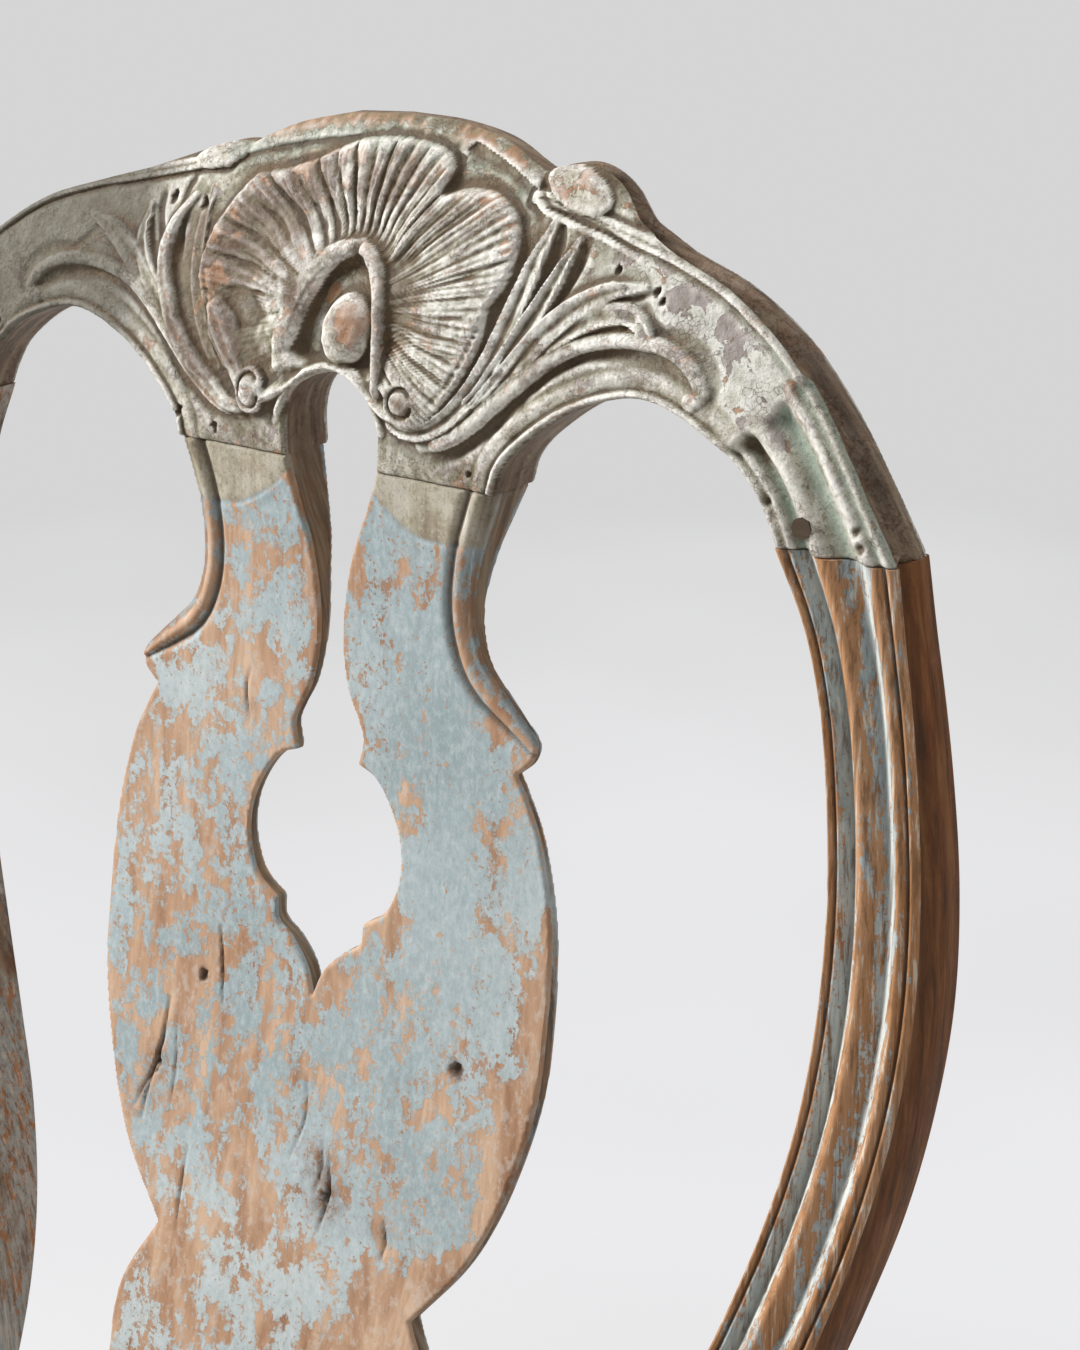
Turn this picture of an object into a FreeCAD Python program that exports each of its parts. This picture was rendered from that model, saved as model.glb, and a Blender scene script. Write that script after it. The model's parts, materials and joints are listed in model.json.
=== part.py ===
import FreeCAD, Part
import math
import os
from types import SimpleNamespace

import Sketcher
from FreeCAD import Placement, Rotation, Vector

# A painted rococo dining chair with a pierced splat, cabriole front legs and a drop-in seat.
# Millimetres. +Z is up and +Y points to the back. The origin is on the floor, under the middle.
# Left and right are those of someone who faces the front of the chair, so right is +X.

SIZES = {
    # Heights above the floor, and how far the splat's face stands behind the origin
    "seat_height": 438,
    "shoe_height": 16,
    "keyhole_height": 680,
    "joint_height": 871,
    "crest_rise": 113,
    "back_set": 202.6,
    "back_half_width": 234.5,
    # The lean of the back, from the seat to the keyhole, from there to the joint, and the crest's roll
    "low_lean": 60.7,
    "high_lean": 16.9,
    "crest_roll": 42.8,
    # Crest rail
    "crest_depth": 25,
    "crest_edge": 9,
    "arch_half_width": 53,
    "arch_rise": 38.5,
    "neck_outer": 69,
    "neck_inner": 20,
    "keyhole_arch": 31,
    "relief": 5,
    "shell_half_width": 68,
    "scroll_radius": 9,
    "flute_depth": 2.6,
    "flute_width": 4.4,
    "pod_half_width": 8.6,
    "pod_half_height": 11,
    "leaf_relief": 3.6,
    "leaf_width": 8,
    "bead_relief": 2.8,
    "bead_width": 6,
    "cove_depth": 4.6,
    # Splat
    "splat_half_width": 100,
    "splat_base_half": 78,
    "splat_thick": 8,
    "splat_head_thick": 22,
    "keyhole_half_width": 34.3,
    "strip_groove_width": 3,
    "strip_groove_depth": 2.4,
    # Rear posts
    "post_width": 42,
    "post_depth": 46,
    "post_inner": 150,
    "post_reach": 72,
    "post_foot_width": 28,
    "post_foot_depth": 30,
    "rear_sweep": 72,
    "moulding_depth": 7,
    # Seat rails
    "front_half_width": 260,
    "seat_front": 262.3,
    "rail_height": 65,
    "rail_thick": 38,
    "rail_wall": 14,
    "ledge_drop": 20,
    "apron_rise": 14,
    "rear_rail_thick": 36,
    "rear_rail_inset": 2,
    "rail_inset": 1,
    # Front legs and the brackets at their knees
    "leg_block": 50,
    "corner_round": 7,
    "bracket_length": 48,
    "bracket_drop": 44,
    "bracket_thick": 24,
    "bracket_lip": 2,
    # Stretchers
    "stretcher_height": 150,
    "stretcher_width": 24,
    "stretcher_deep": 32,
    "stretcher_tenon": 10,
    "tongue_reach": 36,
    # Tenons, pegs and the play between them
    "tenon_thick": 12,
    "tenon_height": 28,
    "rail_tenon": 22,
    "rear_rail_tenon": 13,
    "tenon_set": 11,
    "crest_tenon": 17,
    "crest_tenon_width": 16,
    "neck_tenon_width": 28,
    "joint_play": 0.15,
    "peg_radius": 3.5,
    "peg_length": 26,
    "peg_stand": 0.6,
    # Corner blocks
    "block_reach": 62,
    "block_height": 30,
    "block_drop": 6,
    # Drop-in seat
    "seat_play": 0.8,
    "seat_rest": 0.3,
    "cover_thick": 1.4,
    "frame_width": 46,
    "frame_thick": 20,
    "frame_tenon": 8,
    "webbing_width": 50,
    "webbing_thick": 1.5,
    "canvas_thick": 1.2,
    "canvas_margin": 5,
    "crown": 42,
    "cover_turn": 34,
    "tack_radius": 3,
    "tack_head": 0.9,
    "tack_length": 9,
    "tack_pitch": 62,
    # Overrun of every cutting tool
    "overrun": 20,
}

doc = FreeCAD.newDocument("Chair")
sheet = doc.addObject("Spreadsheet::Sheet", "Sizes")
for row, (name, value) in enumerate(SIZES.items(), 1):
    sheet.set(f"A{row}", name)
    sheet.set(f"B{row}", str(value))
    sheet.setAlias(f"B{row}", name)
doc.recompute()


def words(number):
    """The sheet expression that stands for a number."""
    return getattr(number, "text", repr(float(number)))


class Size(float):
    """A length that remembers the sheet expression it comes from."""

    def __new__(cls, value, text):
        made = float.__new__(cls, value)
        made.text = text
        return made

    def __add__(self, other):
        return Size(float(self) + float(other), f"({words(self)} + {words(other)})")

    def __radd__(self, other):
        return Size(float(other) + float(self), f"({words(other)} + {words(self)})")

    def __sub__(self, other):
        return Size(float(self) - float(other), f"({words(self)} - {words(other)})")

    def __rsub__(self, other):
        return Size(float(other) - float(self), f"({words(other)} - {words(self)})")

    def __mul__(self, other):
        return Size(float(self) * float(other), f"({words(self)} * {words(other)})")

    def __rmul__(self, other):
        return Size(float(other) * float(self), f"({words(other)} * {words(self)})")

    def __truediv__(self, other):
        return Size(float(self) / float(other), f"({words(self)} / {words(other)})")

    def __neg__(self):
        return Size(-float(self), f"(0 - {words(self)})")


size = SimpleNamespace(**{n: Size(float(sheet.get(n)), f"Sizes.{n}") for n in SIZES})
parts = []

# Places worked out from the sizes
rail_top = size.seat_height
rail_bottom = rail_top - size.rail_height
ledge = rail_top - size.ledge_drop
shoe_top = rail_top + size.shoe_height
back_top = size.joint_height + size.crest_rise
post_front = size.back_set - size.post_reach
post_back = post_front + size.post_depth
post_outer = size.post_inner + size.post_width
leg_inner = size.front_half_width - size.leg_block
leg_back = size.leg_block - size.seat_front
rear_rail_front = post_front + size.rear_rail_inset
rear_rail_back = rear_rail_front + size.rear_rail_thick
tenon_low = rail_bottom + (ledge - rail_bottom - size.tenon_height) / 2
tenon_high = tenon_low + size.tenon_height


# How far the middle of a quarter circle lies from each side of its corner, as a share of its radius
QUARTER_BULGE_SHARE = 1 - math.sqrt(0.5)
# Points nearer than this are the same point
SAME_POINT = 1e-6


def finished(node, label):
    """Names a finished piece, which is written to its own file."""
    node.Label = label
    parts.append(node)
    return node


def bind(node, **properties):
    """Sets properties of an object and ties each to the sheet."""
    for name, number in properties.items():
        setattr(node, name, float(number))
        node.setExpression(name, words(number))
    return node


def place(node, corner, rotation=Rotation()):
    """Places an object at a corner that is tied to the sheet."""
    node.Placement = Placement(Vector(*map(float, corner)), rotation)
    for axis, number in zip("xyz", corner):
        node.setExpression(f"Placement.Base.{axis}", words(number))
    return node


def box(name, low, high):
    """A block between two corners."""
    node = doc.addObject("Part::Box", name)
    bind(node, Length=high[0] - low[0], Width=high[1] - low[1], Height=high[2] - low[2])
    return place(node, low)


def rod(name, radius, length, start, direction):
    """A round bar from a point along a direction."""
    node = doc.addObject("Part::Cylinder", name)
    bind(node, Radius=radius, Height=length)
    return place(node, start, Rotation(Vector(0, 0, 1), Vector(*direction)))


def facets(name, sides, radius, length, start, direction):
    """A whittled bar with flat sides, from a point along a direction."""
    node = doc.addObject("Part::Prism", name)
    node.Polygon = sides
    bind(node, Circumradius=radius, Height=length)
    return place(node, start, Rotation(Vector(0, 0, 1), Vector(*direction)))


def fuse(name, *nodes):
    """Solids joined into one."""
    node = doc.addObject("Part::MultiFuse", name)
    node.Shapes = list(nodes)
    return node


def cut(name, base, *tools):
    """A solid with others taken away from it."""
    node = doc.addObject("Part::Cut", name)
    node.Base = base
    node.Tool = tools[0] if len(tools) == 1 else fuse(name + "_tools", *tools)
    return node


def common(name, *nodes):
    """What solids share."""
    node = doc.addObject("Part::MultiCommon", name)
    node.Shapes = list(nodes)
    return node


def free_form(name, shape):
    """A shape made of lofts or of free curves."""
    node = doc.addObject("Part::Feature", name)
    node.Shape = shape
    return node


def mirrored(name, source):
    """The other hand of a piece, across the chair's middle."""
    node = doc.addObject("Part::Mirroring", name)
    node.Source = source
    node.Normal = Vector(1, 0, 0)
    return node


def add_prism(body, name, corners, low, high):
    """Adds an upright prism to a body: a polygon, each corner tied to the sheet, padded from low to high."""
    sketch = body.newObject("Sketcher::SketchObject", name + "_outline")
    plane = next(f for f in body.Origin.OriginFeatures if f.Role == "XY_Plane")
    sketch.AttachmentSupport = [(plane, "")]
    sketch.MapMode = "FlatFace"
    sketch.setExpression("AttachmentOffset.Base.z", words(low))
    points = [Vector(float(x), float(y), 0) for x, y in corners]
    last = len(points) - 1
    for i, point in enumerate(points):
        sketch.addGeometry(Part.LineSegment(point, points[0 if i == last else i + 1]), False)
    for i in range(len(points)):
        sketch.addConstraint(Sketcher.Constraint("Coincident", i, 2, 0 if i == last else i + 1, 1))
    for i, corner in enumerate(corners):
        for kind, number in zip(("DistanceX", "DistanceY"), corner):
            tie = sketch.addConstraint(Sketcher.Constraint(kind, i, 1, float(number)))
            sketch.setExpression(f"Constraints[{tie}]", words(number))
    pad = body.newObject("PartDesign::Pad", name + "_pad")
    pad.Profile = sketch
    pad.setExpression("Length", words(high - low))
    body.Tip = pad
    return pad


def prism(name, corners, low, high):
    """A body that starts as an upright prism."""
    body = doc.addObject("PartDesign::Body", name)
    add_prism(body, name, corners, low, high)
    return body


def smooth(table):
    """A smooth function through a table of (place, value) pairs, in rising order of place."""
    places = [float(p) for p, v in table]
    values = [float(v) for p, v in table]
    last = len(table) - 1
    slopes = []
    for i in range(len(table)):
        before, after = max(i - 1, 0), min(i + 1, last)
        slopes.append((values[after] - values[before]) / (places[after] - places[before]))

    def value_at(place):
        i = min(max(sum(p <= place for p in places) - 1, 0), last - 1)
        span = places[i + 1] - places[i]
        t = (place - places[i]) / span
        start, end = values[i], values[i + 1]
        bend_start, bend_end = slopes[i] * span, slopes[i + 1] * span
        turn = 3 * (end - start) - 2 * bend_start - bend_end
        return start + bend_start * t + turn * t * t + (bend_start + bend_end - 2 * (end - start)) * t ** 3

    return value_at


def curve(points):
    """One smooth edge through points."""
    spline = Part.BSplineCurve()
    spline.interpolate([Vector(*p) for p in points])
    return spline.toShape()


def outline(stretches):
    """A closed wire of smooth stretches, joined by straight lines where their ends are apart."""
    edges = []
    for i, points in enumerate(stretches):
        edges.append(curve(points))
        end, start = Vector(*points[-1]), Vector(*stretches[(i + 1) % len(stretches)][0])
        if end.distanceToPoint(start) > SAME_POINT:
            edges.append(Part.LineSegment(end, start).toShape())
    return Part.Wire(edges)


def sawn(name, front, side, depth, breadth):
    """A board sawn to front outlines, through its depth, and to a side profile, across its breadth."""
    cuts = []
    for view, wire, direction, length in (
        ("front", front, Vector(0, 1, 0), depth),
        ("side", side, Vector(1, 0, 0), breadth),
    ):
        sweep = doc.addObject("Part::Extrusion", f"{name}_{view}")
        sweep.Base = free_form(f"{name}_{view}_outline", wire)
        sweep.DirMode = "Custom"
        sweep.Dir = direction
        sweep.Solid = True
        bind(sweep, LengthFwd=length)
        cuts.append(sweep)
    return common(name, *cuts)


# The back's side view. The shares are of the height and the lean of each of its three stretches.
LOW_LEAN_SHARES = ((0, -1), (0.058, -0.94), (0.587, -0.369), (0.793, -0.165))
HIGH_LEAN_SHARES = ((0, 0), (0.262, 0.456), (0.524, 0.776), (0.785, 0.956), (1, 1))
ROLL_SHARES = ((0.25, 0.06), (0.51, 0.255), (0.77, 0.586), (1, 1), (1.06, 1.13))


def back_line():
    """How far the back's face lies behind the keyhole's tip, against height."""
    low = size.keyhole_height - size.seat_height
    high = size.joint_height - size.keyhole_height
    table = [(size.seat_height + s * low, v * size.low_lean) for s, v in LOW_LEAN_SHARES]
    table += [(size.keyhole_height + s * high, v * size.high_lean) for s, v in HIGH_LEAN_SHARES]
    for s, v in ROLL_SHARES:
        table.append((size.joint_height + s * size.crest_rise, size.high_lean + v * size.crest_roll))
    return smooth(table)


lean = back_line()


def face_at(height):
    """Y of the back's front face at a height."""
    return float(size.back_set) + lean(float(height))


def mirror_points(points):
    """The same points on the other side of the middle, in reverse order."""
    return [(-x, y, z) for x, y, z in reversed(points)]


def front_points(shares, half_width, base, height, depth):
    """Points of a front outline, from shares of a half width and of a height above a base."""
    return [(float(half_width) * x, float(depth), float(base) + float(height) * z) for x, z in shares]


def side_wire(front_at, back_at, heights, x):
    """A side profile: a front curve up, and a back curve down."""
    up = [(float(x), front_at(h), h) for h in heights]
    down = [(float(x), back_at(h), h) for h in reversed(heights)]
    return outline([up, down])


# Crest rail

CREST_TOP_SHARES = (
    (0, 1), (0.1, 0.993), (0.19, 0.962), (0.26, 0.905),
)
EAR_SHARES = ((0.28, 0.885), (0.31, 0.9), (0.355, 0.91), (0.41, 0.885), (0.46, 0.78))
SHOULDER_SHARES = (
    (0.53, 0.718), (0.62, 0.655), (0.685, 0.583), (0.735, 0.51),
    (0.785, 0.41), (0.832, 0.285), (0.875, 0.147), (0.915, 0),
)
ARCH_SHARES = (
    (-1, 0), (-0.94, 0.25), (-0.77, 0.51), (-0.43, 0.83), (0, 1),
    (0.43, 0.84), (0.78, 0.5), (0.93, 0.21), (1, 0),
)
KEYHOLE_ARCH_SHARES = (
    (-1, 0), (-1.02, 0.42), (-0.85, 0.74), (-0.45, 0.93), (0, 1),
    (0.45, 0.93), (0.85, 0.74), (1.02, 0.42), (1, 0),
)
CREST_BACK_SHARES = (
    (0, 0), (0.25, 0.063), (0.51, 0.228), (0.7, 0.407), (0.85, 0.65), (1, 1), (1.06, 1.13),
)


def crest_blank():
    """The crest as it comes from the saw, with its ears and its three arches."""
    base, rise = size.joint_height, size.crest_rise
    depth = face_at(base) - float(size.overrun)
    half = size.back_half_width
    top_right = front_points(CREST_TOP_SHARES, half, base, rise, depth)
    ear = front_points(EAR_SHARES, half, base, rise, depth)
    shoulder = front_points(SHOULDER_SHARES, half, base, rise, depth)
    arch_middle = float(size.neck_outer + size.arch_half_width)
    arch = [
        (arch_middle + float(size.arch_half_width) * x, depth, float(base + size.arch_rise * z))
        for x, z in ARCH_SHARES
    ]
    keyhole = front_points(KEYHOLE_ARCH_SHARES, size.neck_inner, base, size.keyhole_arch, depth)
    top_edge = mirror_points(top_right)[:-1] + top_right
    ring = outline([
        top_edge, ear, shoulder, list(reversed(arch)), list(reversed(keyhole)),
        [(-x, y, z) for x, y, z in arch], mirror_points(shoulder), mirror_points(ear),
    ])
    back_low = face_at(base) + float(size.crest_depth)
    back_high = face_at(back_top) + float(size.crest_edge)
    back_at = smooth([(base + s * rise, back_low + v * (back_high - back_low)) for s, v in CREST_BACK_SHARES])
    heights = [float(base + s * rise) for s, v in CREST_BACK_SHARES]
    side = side_wire(face_at, back_at, heights, -half - size.overrun)
    across = 2 * (half + size.overrun)
    through = size.post_depth + size.crest_roll + 2 * size.overrun
    return sawn("crest_blank", Part.Face(ring), side, through, across)


# The shell's lobed edge, from the right scroll over the top to the left one
SHELL_EDGE_SHARES = (
    ((0.47, 0.26), (0.68, 0.275), (0.87, 0.355), (0.96, 0.44), (1, 0.55), (1, 0.655), (0.91, 0.76),
     (0.75, 0.825), (0.57, 0.83)),
    ((0.57, 0.83), (0.47, 0.9), (0.3, 0.94), (0.06, 0.93), (-0.22, 0.895), (-0.5, 0.835)),
    ((-0.5, 0.835), (-0.72, 0.8), (-0.9, 0.73), (-0.97, 0.63), (-0.94, 0.53), (-0.84, 0.46)),
    ((-0.84, 0.46), (-0.68, 0.38), (-0.56, 0.3), (-0.47, 0.21)),
)


def shell():
    """The carved shell: a lobed fan that stands proud of the crest's face and follows its roll."""
    base, rise = size.joint_height, size.crest_rise
    depth = face_at(base) - 2 * float(size.overrun)
    lobes = [front_points(lobe, size.shell_half_width, base, rise, depth) for lobe in SHELL_EDGE_SHARES]
    return on_face("shell", [outline(lobes)], size.relief, size.relief)


def on_face(name, wires, proud, sunk):
    """Front outlines cut through a layer that follows the crest's face, from proud of it to sunk in it."""
    heights = [float(size.joint_height + s * size.crest_rise) for s, v in CREST_BACK_SHARES]
    reach = size.back_half_width + size.overrun
    side = side_wire(
        lambda h: face_at(h) - float(proud), lambda h: face_at(h) + float(sunk), heights, -reach
    )
    forms = Part.makeCompound([Part.Face(wire) for wire in wires])
    return sawn(name, forms, side, size.post_depth + size.crest_roll + 4 * size.overrun, 2 * reach)


# Each flute of the shell: its direction in degrees, and its start and its end as shares of the half width
FLUTE_SHARES = (
    (-33, 0.42, 0.7), (-12, 0.42, 0.84), (8, 0.42, 0.86), (27, 0.42, 0.94), (44, 0.42, 0.9),
    (62, 0.42, 0.72), (80, 0.42, 0.72), (99, 0.42, 0.72), (119, 0.42, 0.68), (139, 0.44, 0.82),
    (159, 0.44, 0.84), (180, 0.46, 0.84), (204, 0.5, 0.74),
)
# The flutes' centre and how much narrower they start, and the hood and the pod at the shell's root
HUB_SHARES = (0.02, 0.47)
FLUTE_START_SHARE = 0.3
HOOD_SHARES = (
    (0.02, 0.63), (-0.02, 0.6), (-0.055, 0.54), (-0.078, 0.46), (-0.088, 0.37), (-0.075, 0.31),
    (0.045, 0.32), (0.088, 0.33), (0.086, 0.4), (0.078, 0.48), (0.06, 0.56), (0.045, 0.61), (0.02, 0.63),
)
POD_SHARES = (0.019, 0.42)
POD_DEPTH_SHARE = 0.55


def flutes(depth):
    """The front outlines of the hollows that fan out over the shell."""
    hub_x = float(size.back_half_width) * HUB_SHARES[0]
    hub_z = float(size.joint_height + size.crest_rise * HUB_SHARES[1])
    wires = []
    for degrees, near, far in FLUTE_SHARES:
        out = Vector(math.cos(math.radians(degrees)), 0, math.sin(math.radians(degrees)))
        across = Vector(-out.z, 0, out.x)
        hub = Vector(hub_x, float(depth), hub_z)
        start = hub + out * float(size.shell_half_width * near)
        end = hub + out * float(size.shell_half_width * far)
        half = float(size.flute_width) / 2
        narrow = half * FLUTE_START_SHARE
        corners = [start - across * narrow, end - across * half, end + across * half, start + across * narrow]
        wires.append(Part.makePolygon(corners + corners[:1]))
    return wires


def shell_root():
    """The hollow under the shell's hood, and the pod that lies in it."""
    base, rise = size.joint_height, size.crest_rise
    depth = face_at(base) - 2 * float(size.overrun)
    ring = outline([front_points(HOOD_SHARES, size.back_half_width, base, rise, depth)])
    hollow = on_face("hood_hollow", [ring], size.relief + size.overrun, size.joint_play)
    height = base + POD_SHARES[1] * rise
    pod = doc.addObject("Part::Ellipsoid", "pod")
    bind(
        pod, Radius1=size.pod_half_height, Radius2=size.pod_half_width,
        Radius3=size.pod_half_width * POD_DEPTH_SHARE,
    )
    place(pod, (POD_SHARES[0] * size.back_half_width, face_at(height), height))
    return hollow, pod


# Centre lines of the leaves and of the long bead over the right arch, and of the coves that carry the
# post's moulding on into the crest
LEAF_SHARES = (
    ((0.12, 0.17), (0.158, 0.146), (0.192, 0.168), (0.226, 0.221), (0.256, 0.292), (0.281, 0.389),
     (0.299, 0.496), (0.313, 0.62), (0.328, 0.77)),
    ((0.245, 0.24), (0.284, 0.31), (0.317, 0.39), (0.345, 0.49), (0.366, 0.61), (0.377, 0.72)),
    ((0.25, 0.225), (0.29, 0.3), (0.325, 0.38), (0.36, 0.478), (0.4, 0.555), (0.448, 0.607), (0.497, 0.63)),
)
BEAD_SHARES = (
    (0.173, 0.113), (0.213, 0.139), (0.256, 0.2), (0.299, 0.28), (0.337, 0.35), (0.376, 0.413),
    (0.418, 0.46), (0.465, 0.485), (0.507, 0.493), (0.55, 0.487), (0.584, 0.463), (0.608, 0.425),
    (0.616, 0.38),
)
COVE_SHARES = (
    ((0.7, 0.32), (0.735, 0.24), (0.77, 0.13), (0.79, -0.02)),
    ((0.78, 0.345), (0.815, 0.25), (0.85, 0.13), (0.872, -0.02)),
)
# How the width of a carved band swells and tapers along its length
BAND_SHARES = smooth(((0, 0.45), (0.2, 0.9), (0.5, 1), (0.8, 0.8), (1, 0.3)))


def band(points, width):
    """The front outline of a tapered band along a centre line."""
    last = len(points) - 1
    one_side, other_side = [], []
    for i, (x, y, z) in enumerate(points):
        before, after = points[max(i - 1, 0)], points[min(i + 1, last)]
        run_x, run_z = after[0] - before[0], after[2] - before[2]
        half = float(width) / 2 * BAND_SHARES(i / last) / math.hypot(run_x, run_z)
        one_side.append((x - run_z * half, y, z + run_x * half))
        other_side.append((x + run_z * half, y, z - run_x * half))
    return outline([one_side, list(reversed(other_side))])


def carving():
    """The raised leaves and beads of the right side, and the coves cut at its end."""
    depth = face_at(size.joint_height) - 2 * float(size.overrun)

    def wire(shares, width):
        line = front_points(shares, size.back_half_width, size.joint_height, size.crest_rise, depth)
        return band(line, width)

    raised = [
        on_face(f"leaf_{i + 1}", [wire(shares, size.leaf_width)], size.leaf_relief * (1 - i / 4), size.relief)
        for i, shares in enumerate(LEAF_SHARES)
    ]
    raised.append(on_face("long_bead", [wire(BEAD_SHARES, size.bead_width)], size.bead_relief, size.relief))
    coves = [wire(shares, size.leaf_width) for shares in COVE_SHARES]
    return raised, on_face("coves", coves, size.overrun, size.cove_depth)


def scroll(name, x_share, z_share):
    """A round scroll end that stands proud of the crest."""
    x = x_share * size.shell_half_width
    z = size.joint_height + z_share * size.crest_rise
    start = (x, face_at(z) - size.relief, z)
    return rod(name, size.scroll_radius, 2 * size.relief, start, (0, 1, 0))


def tenon(name, low, high):
    """A tenon, and the mortise that takes it with play at its sides and its end."""
    made = box(name, low, high)
    room = [a - size.joint_play for a in low], [a + size.joint_play for a in high]
    return made, box(name + "_mortise", *room)


def both(node):
    """A tool of the right side with its mirror image."""
    return [node, mirrored(node.Name + "_left", node)]


PEG_SIDES = 8


def peg(name, start, direction):
    """A whittled peg that stands a little proud of the face it is driven into, and its hole."""
    out = [-d * size.peg_stand for d in direction]
    head = [a + b for a, b in zip(start, out)]
    length = size.peg_length + size.peg_stand
    made = facets(name, PEG_SIDES, size.peg_radius, length, head, direction)
    room = size.peg_radius + size.joint_play
    hole = facets(name + "_hole", PEG_SIDES, room, length + size.joint_play, head, direction)
    return made, hole


CREST_TENON_SHARE = 0.79


def crest_joints():
    """The tenons that rise into the crest from the right post and the right neck of the splat."""
    middle = CREST_TENON_SHARE * size.back_half_width
    front = size.back_set + size.high_lean + (size.crest_depth - size.tenon_thick) / 2
    base, top = size.joint_height - size.joint_play, size.joint_height + size.crest_tenon
    post = []
    for name, at, width in (
        ("post_top", middle, size.crest_tenon_width),
        ("neck_top", (size.neck_inner + size.neck_outer) / 2, size.neck_tenon_width),
    ):
        low, high = (at - width / 2, front, base), (at + width / 2, front + size.tenon_thick, top)
        post.append(tenon(name, low, high))
    start = (middle, face_at(size.joint_height) + size.peg_stand, size.joint_height + size.crest_tenon / 2)
    return post[0], post[1], peg("crest_peg", start, (0, 1, 0))


post_top, neck_top, crest_peg = crest_joints()


SCROLL_SHARES = (0.5, 0.225)


def crest_rail():
    """The crest with its carving raised and its mortises cut."""
    depth = face_at(size.joint_height) - 2 * float(size.overrun)
    hollow, pod = shell_root()
    grooves = on_face("flutes", flutes(depth), size.relief + size.overrun, size.flute_depth - size.relief)
    fluted = cut("fluted_shell", shell(), grooves, hollow)
    raised, coves = carving()
    scrolls = both(scroll("scroll", *SCROLL_SHARES))
    sides = [made for each in raised for made in both(each)]
    carved = fuse("carved_crest", crest_blank(), fluted, pod, *sides, *scrolls)
    tools = both(post_top[1]) + both(neck_top[1]) + both(crest_peg[1]) + both(coves)
    return finished(cut("crest", carved, *tools), "crest_rail")


crest_rail()

# Splat

BASE_SHARES = ((1, -1), (0.97, -0.855), (0.955, -0.72), (0.95, -0.57), (0.769, -0.446))
BODY_SHARES = (
    (0.6, -0.446), (0.767, -0.353), (0.864, -0.271), (0.936, -0.177), (0.987, -0.079),
    (1.003, 0.018), (0.991, 0.235), (0.927, 0.39), (0.854, 0.472), (0.81, 0.51),
)
STRIP_SHARES = (
    (0.81, 0.51), (0.875, 0.54), (0.88, 0.572), (0.82, 0.606), (0.74, 0.645), (0.655, 0.69),
    (0.612, 0.745), (0.6, 0.806), (0.617, 0.88), (0.65, 0.94), (0.69, 1.0),
)
KEYHOLE_SHARES = (
    ((0.583, 1.0), (0.449, 0.93), (0.251, 0.832), (0.163, 0.737), (0.157, 0.662), (0.233, 0.589),
     (0.373, 0.538), (0.446, 0.503), (0.394, 0.454)),
    ((0.394, 0.454), (0.633, 0.436), (0.843, 0.387), (0.983, 0.328), (1.0, 0.263), (0.863, 0.196),
     (0.58, 0.16)),
    ((0.58, 0.16), (0.551, 0.12), (0.33, 0.091), (0.11, 0.049), (0, 0)),
)
# The groove that sets off the strip along each side of the splat's waist
STRIP_GROOVE_SHARES = (
    (0.765, 0.54), (0.7, 0.6), (0.6, 0.665), (0.53, 0.725), (0.507, 0.8), (0.522, 0.87), (0.556, 0.935),
    (0.6, 1.0),
)
# How the splat thickens towards the crest, and the levels of its side profile
SPLAT_HEAD_SHARES = ((0.73, 0), (0.785, 0.12), (0.864, 0.45), (0.932, 0.75), (1, 1))
SPLAT_LEVEL_SHARES = (0, 0.15, 0.3, 0.42, 0.55, 0.65, 0.75, 0.83, 0.88, 0.92, 0.96, 1)


def splat_points(shares, half_width, depth):
    """Points of the splat. Heights are shares of its height above the keyhole's tip, or below it."""
    above = size.joint_height - size.keyhole_height
    below = size.keyhole_height - shoe_top
    return [
        (float(half_width * x), depth, float(size.keyhole_height + z * (above if z > 0 else below)))
        for x, z in shares
    ]


def splat():
    """The pierced vase splat: thin below, and as thick as the crest at its two necks."""
    foot = shoe_top - size.shoe_height / 2
    depth = face_at(foot) - float(size.overrun)
    base = splat_points(BASE_SHARES, size.splat_base_half, depth)
    base[0] = (base[0][0], depth, float(foot))
    right = [
        base,
        splat_points(BODY_SHARES, size.splat_half_width, depth),
        splat_points(STRIP_SHARES, size.splat_half_width, depth),
    ]
    hole = [splat_points(shares, size.keyhole_half_width, depth) for shares in KEYHOLE_SHARES]
    half = right + hole
    ring = outline(half + [mirror_points(stretch) for stretch in reversed(half)])
    above = size.joint_height - size.keyhole_height
    head = size.splat_head_thick - size.splat_thick
    thick_at = smooth(
        [(foot, size.splat_thick), (size.keyhole_height, size.splat_thick)]
        + [(size.keyhole_height + z * above, size.splat_thick + s * head) for z, s in SPLAT_HEAD_SHARES]
    )
    heights = [float(foot + s * (size.joint_height - foot)) for s in SPLAT_LEVEL_SHARES]
    reach = -size.splat_half_width - size.overrun
    side = side_wire(face_at, lambda h: face_at(h) + thick_at(h), heights, reach)
    through = size.low_lean + size.post_depth + 2 * size.overrun
    board = sawn("splat_board", Part.Face(ring), side, through, -2 * reach)
    line = splat_points(STRIP_GROOVE_SHARES, size.splat_half_width, depth)
    layer = side_wire(
        lambda h: face_at(h) - float(size.overrun), lambda h: face_at(h) + float(size.strip_groove_depth),
        heights, reach,
    )
    groove = sawn("strip_groove", Part.Face(band(line, size.strip_groove_width)), layer, through, -2 * reach)
    grooved = cut("grooved_board", board, *both(groove))
    return finished(fuse("splat", grooved, *both(neck_top[0])), "splat")


splat()


SHOE_SLOPE_SHARE = 0.6


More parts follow.
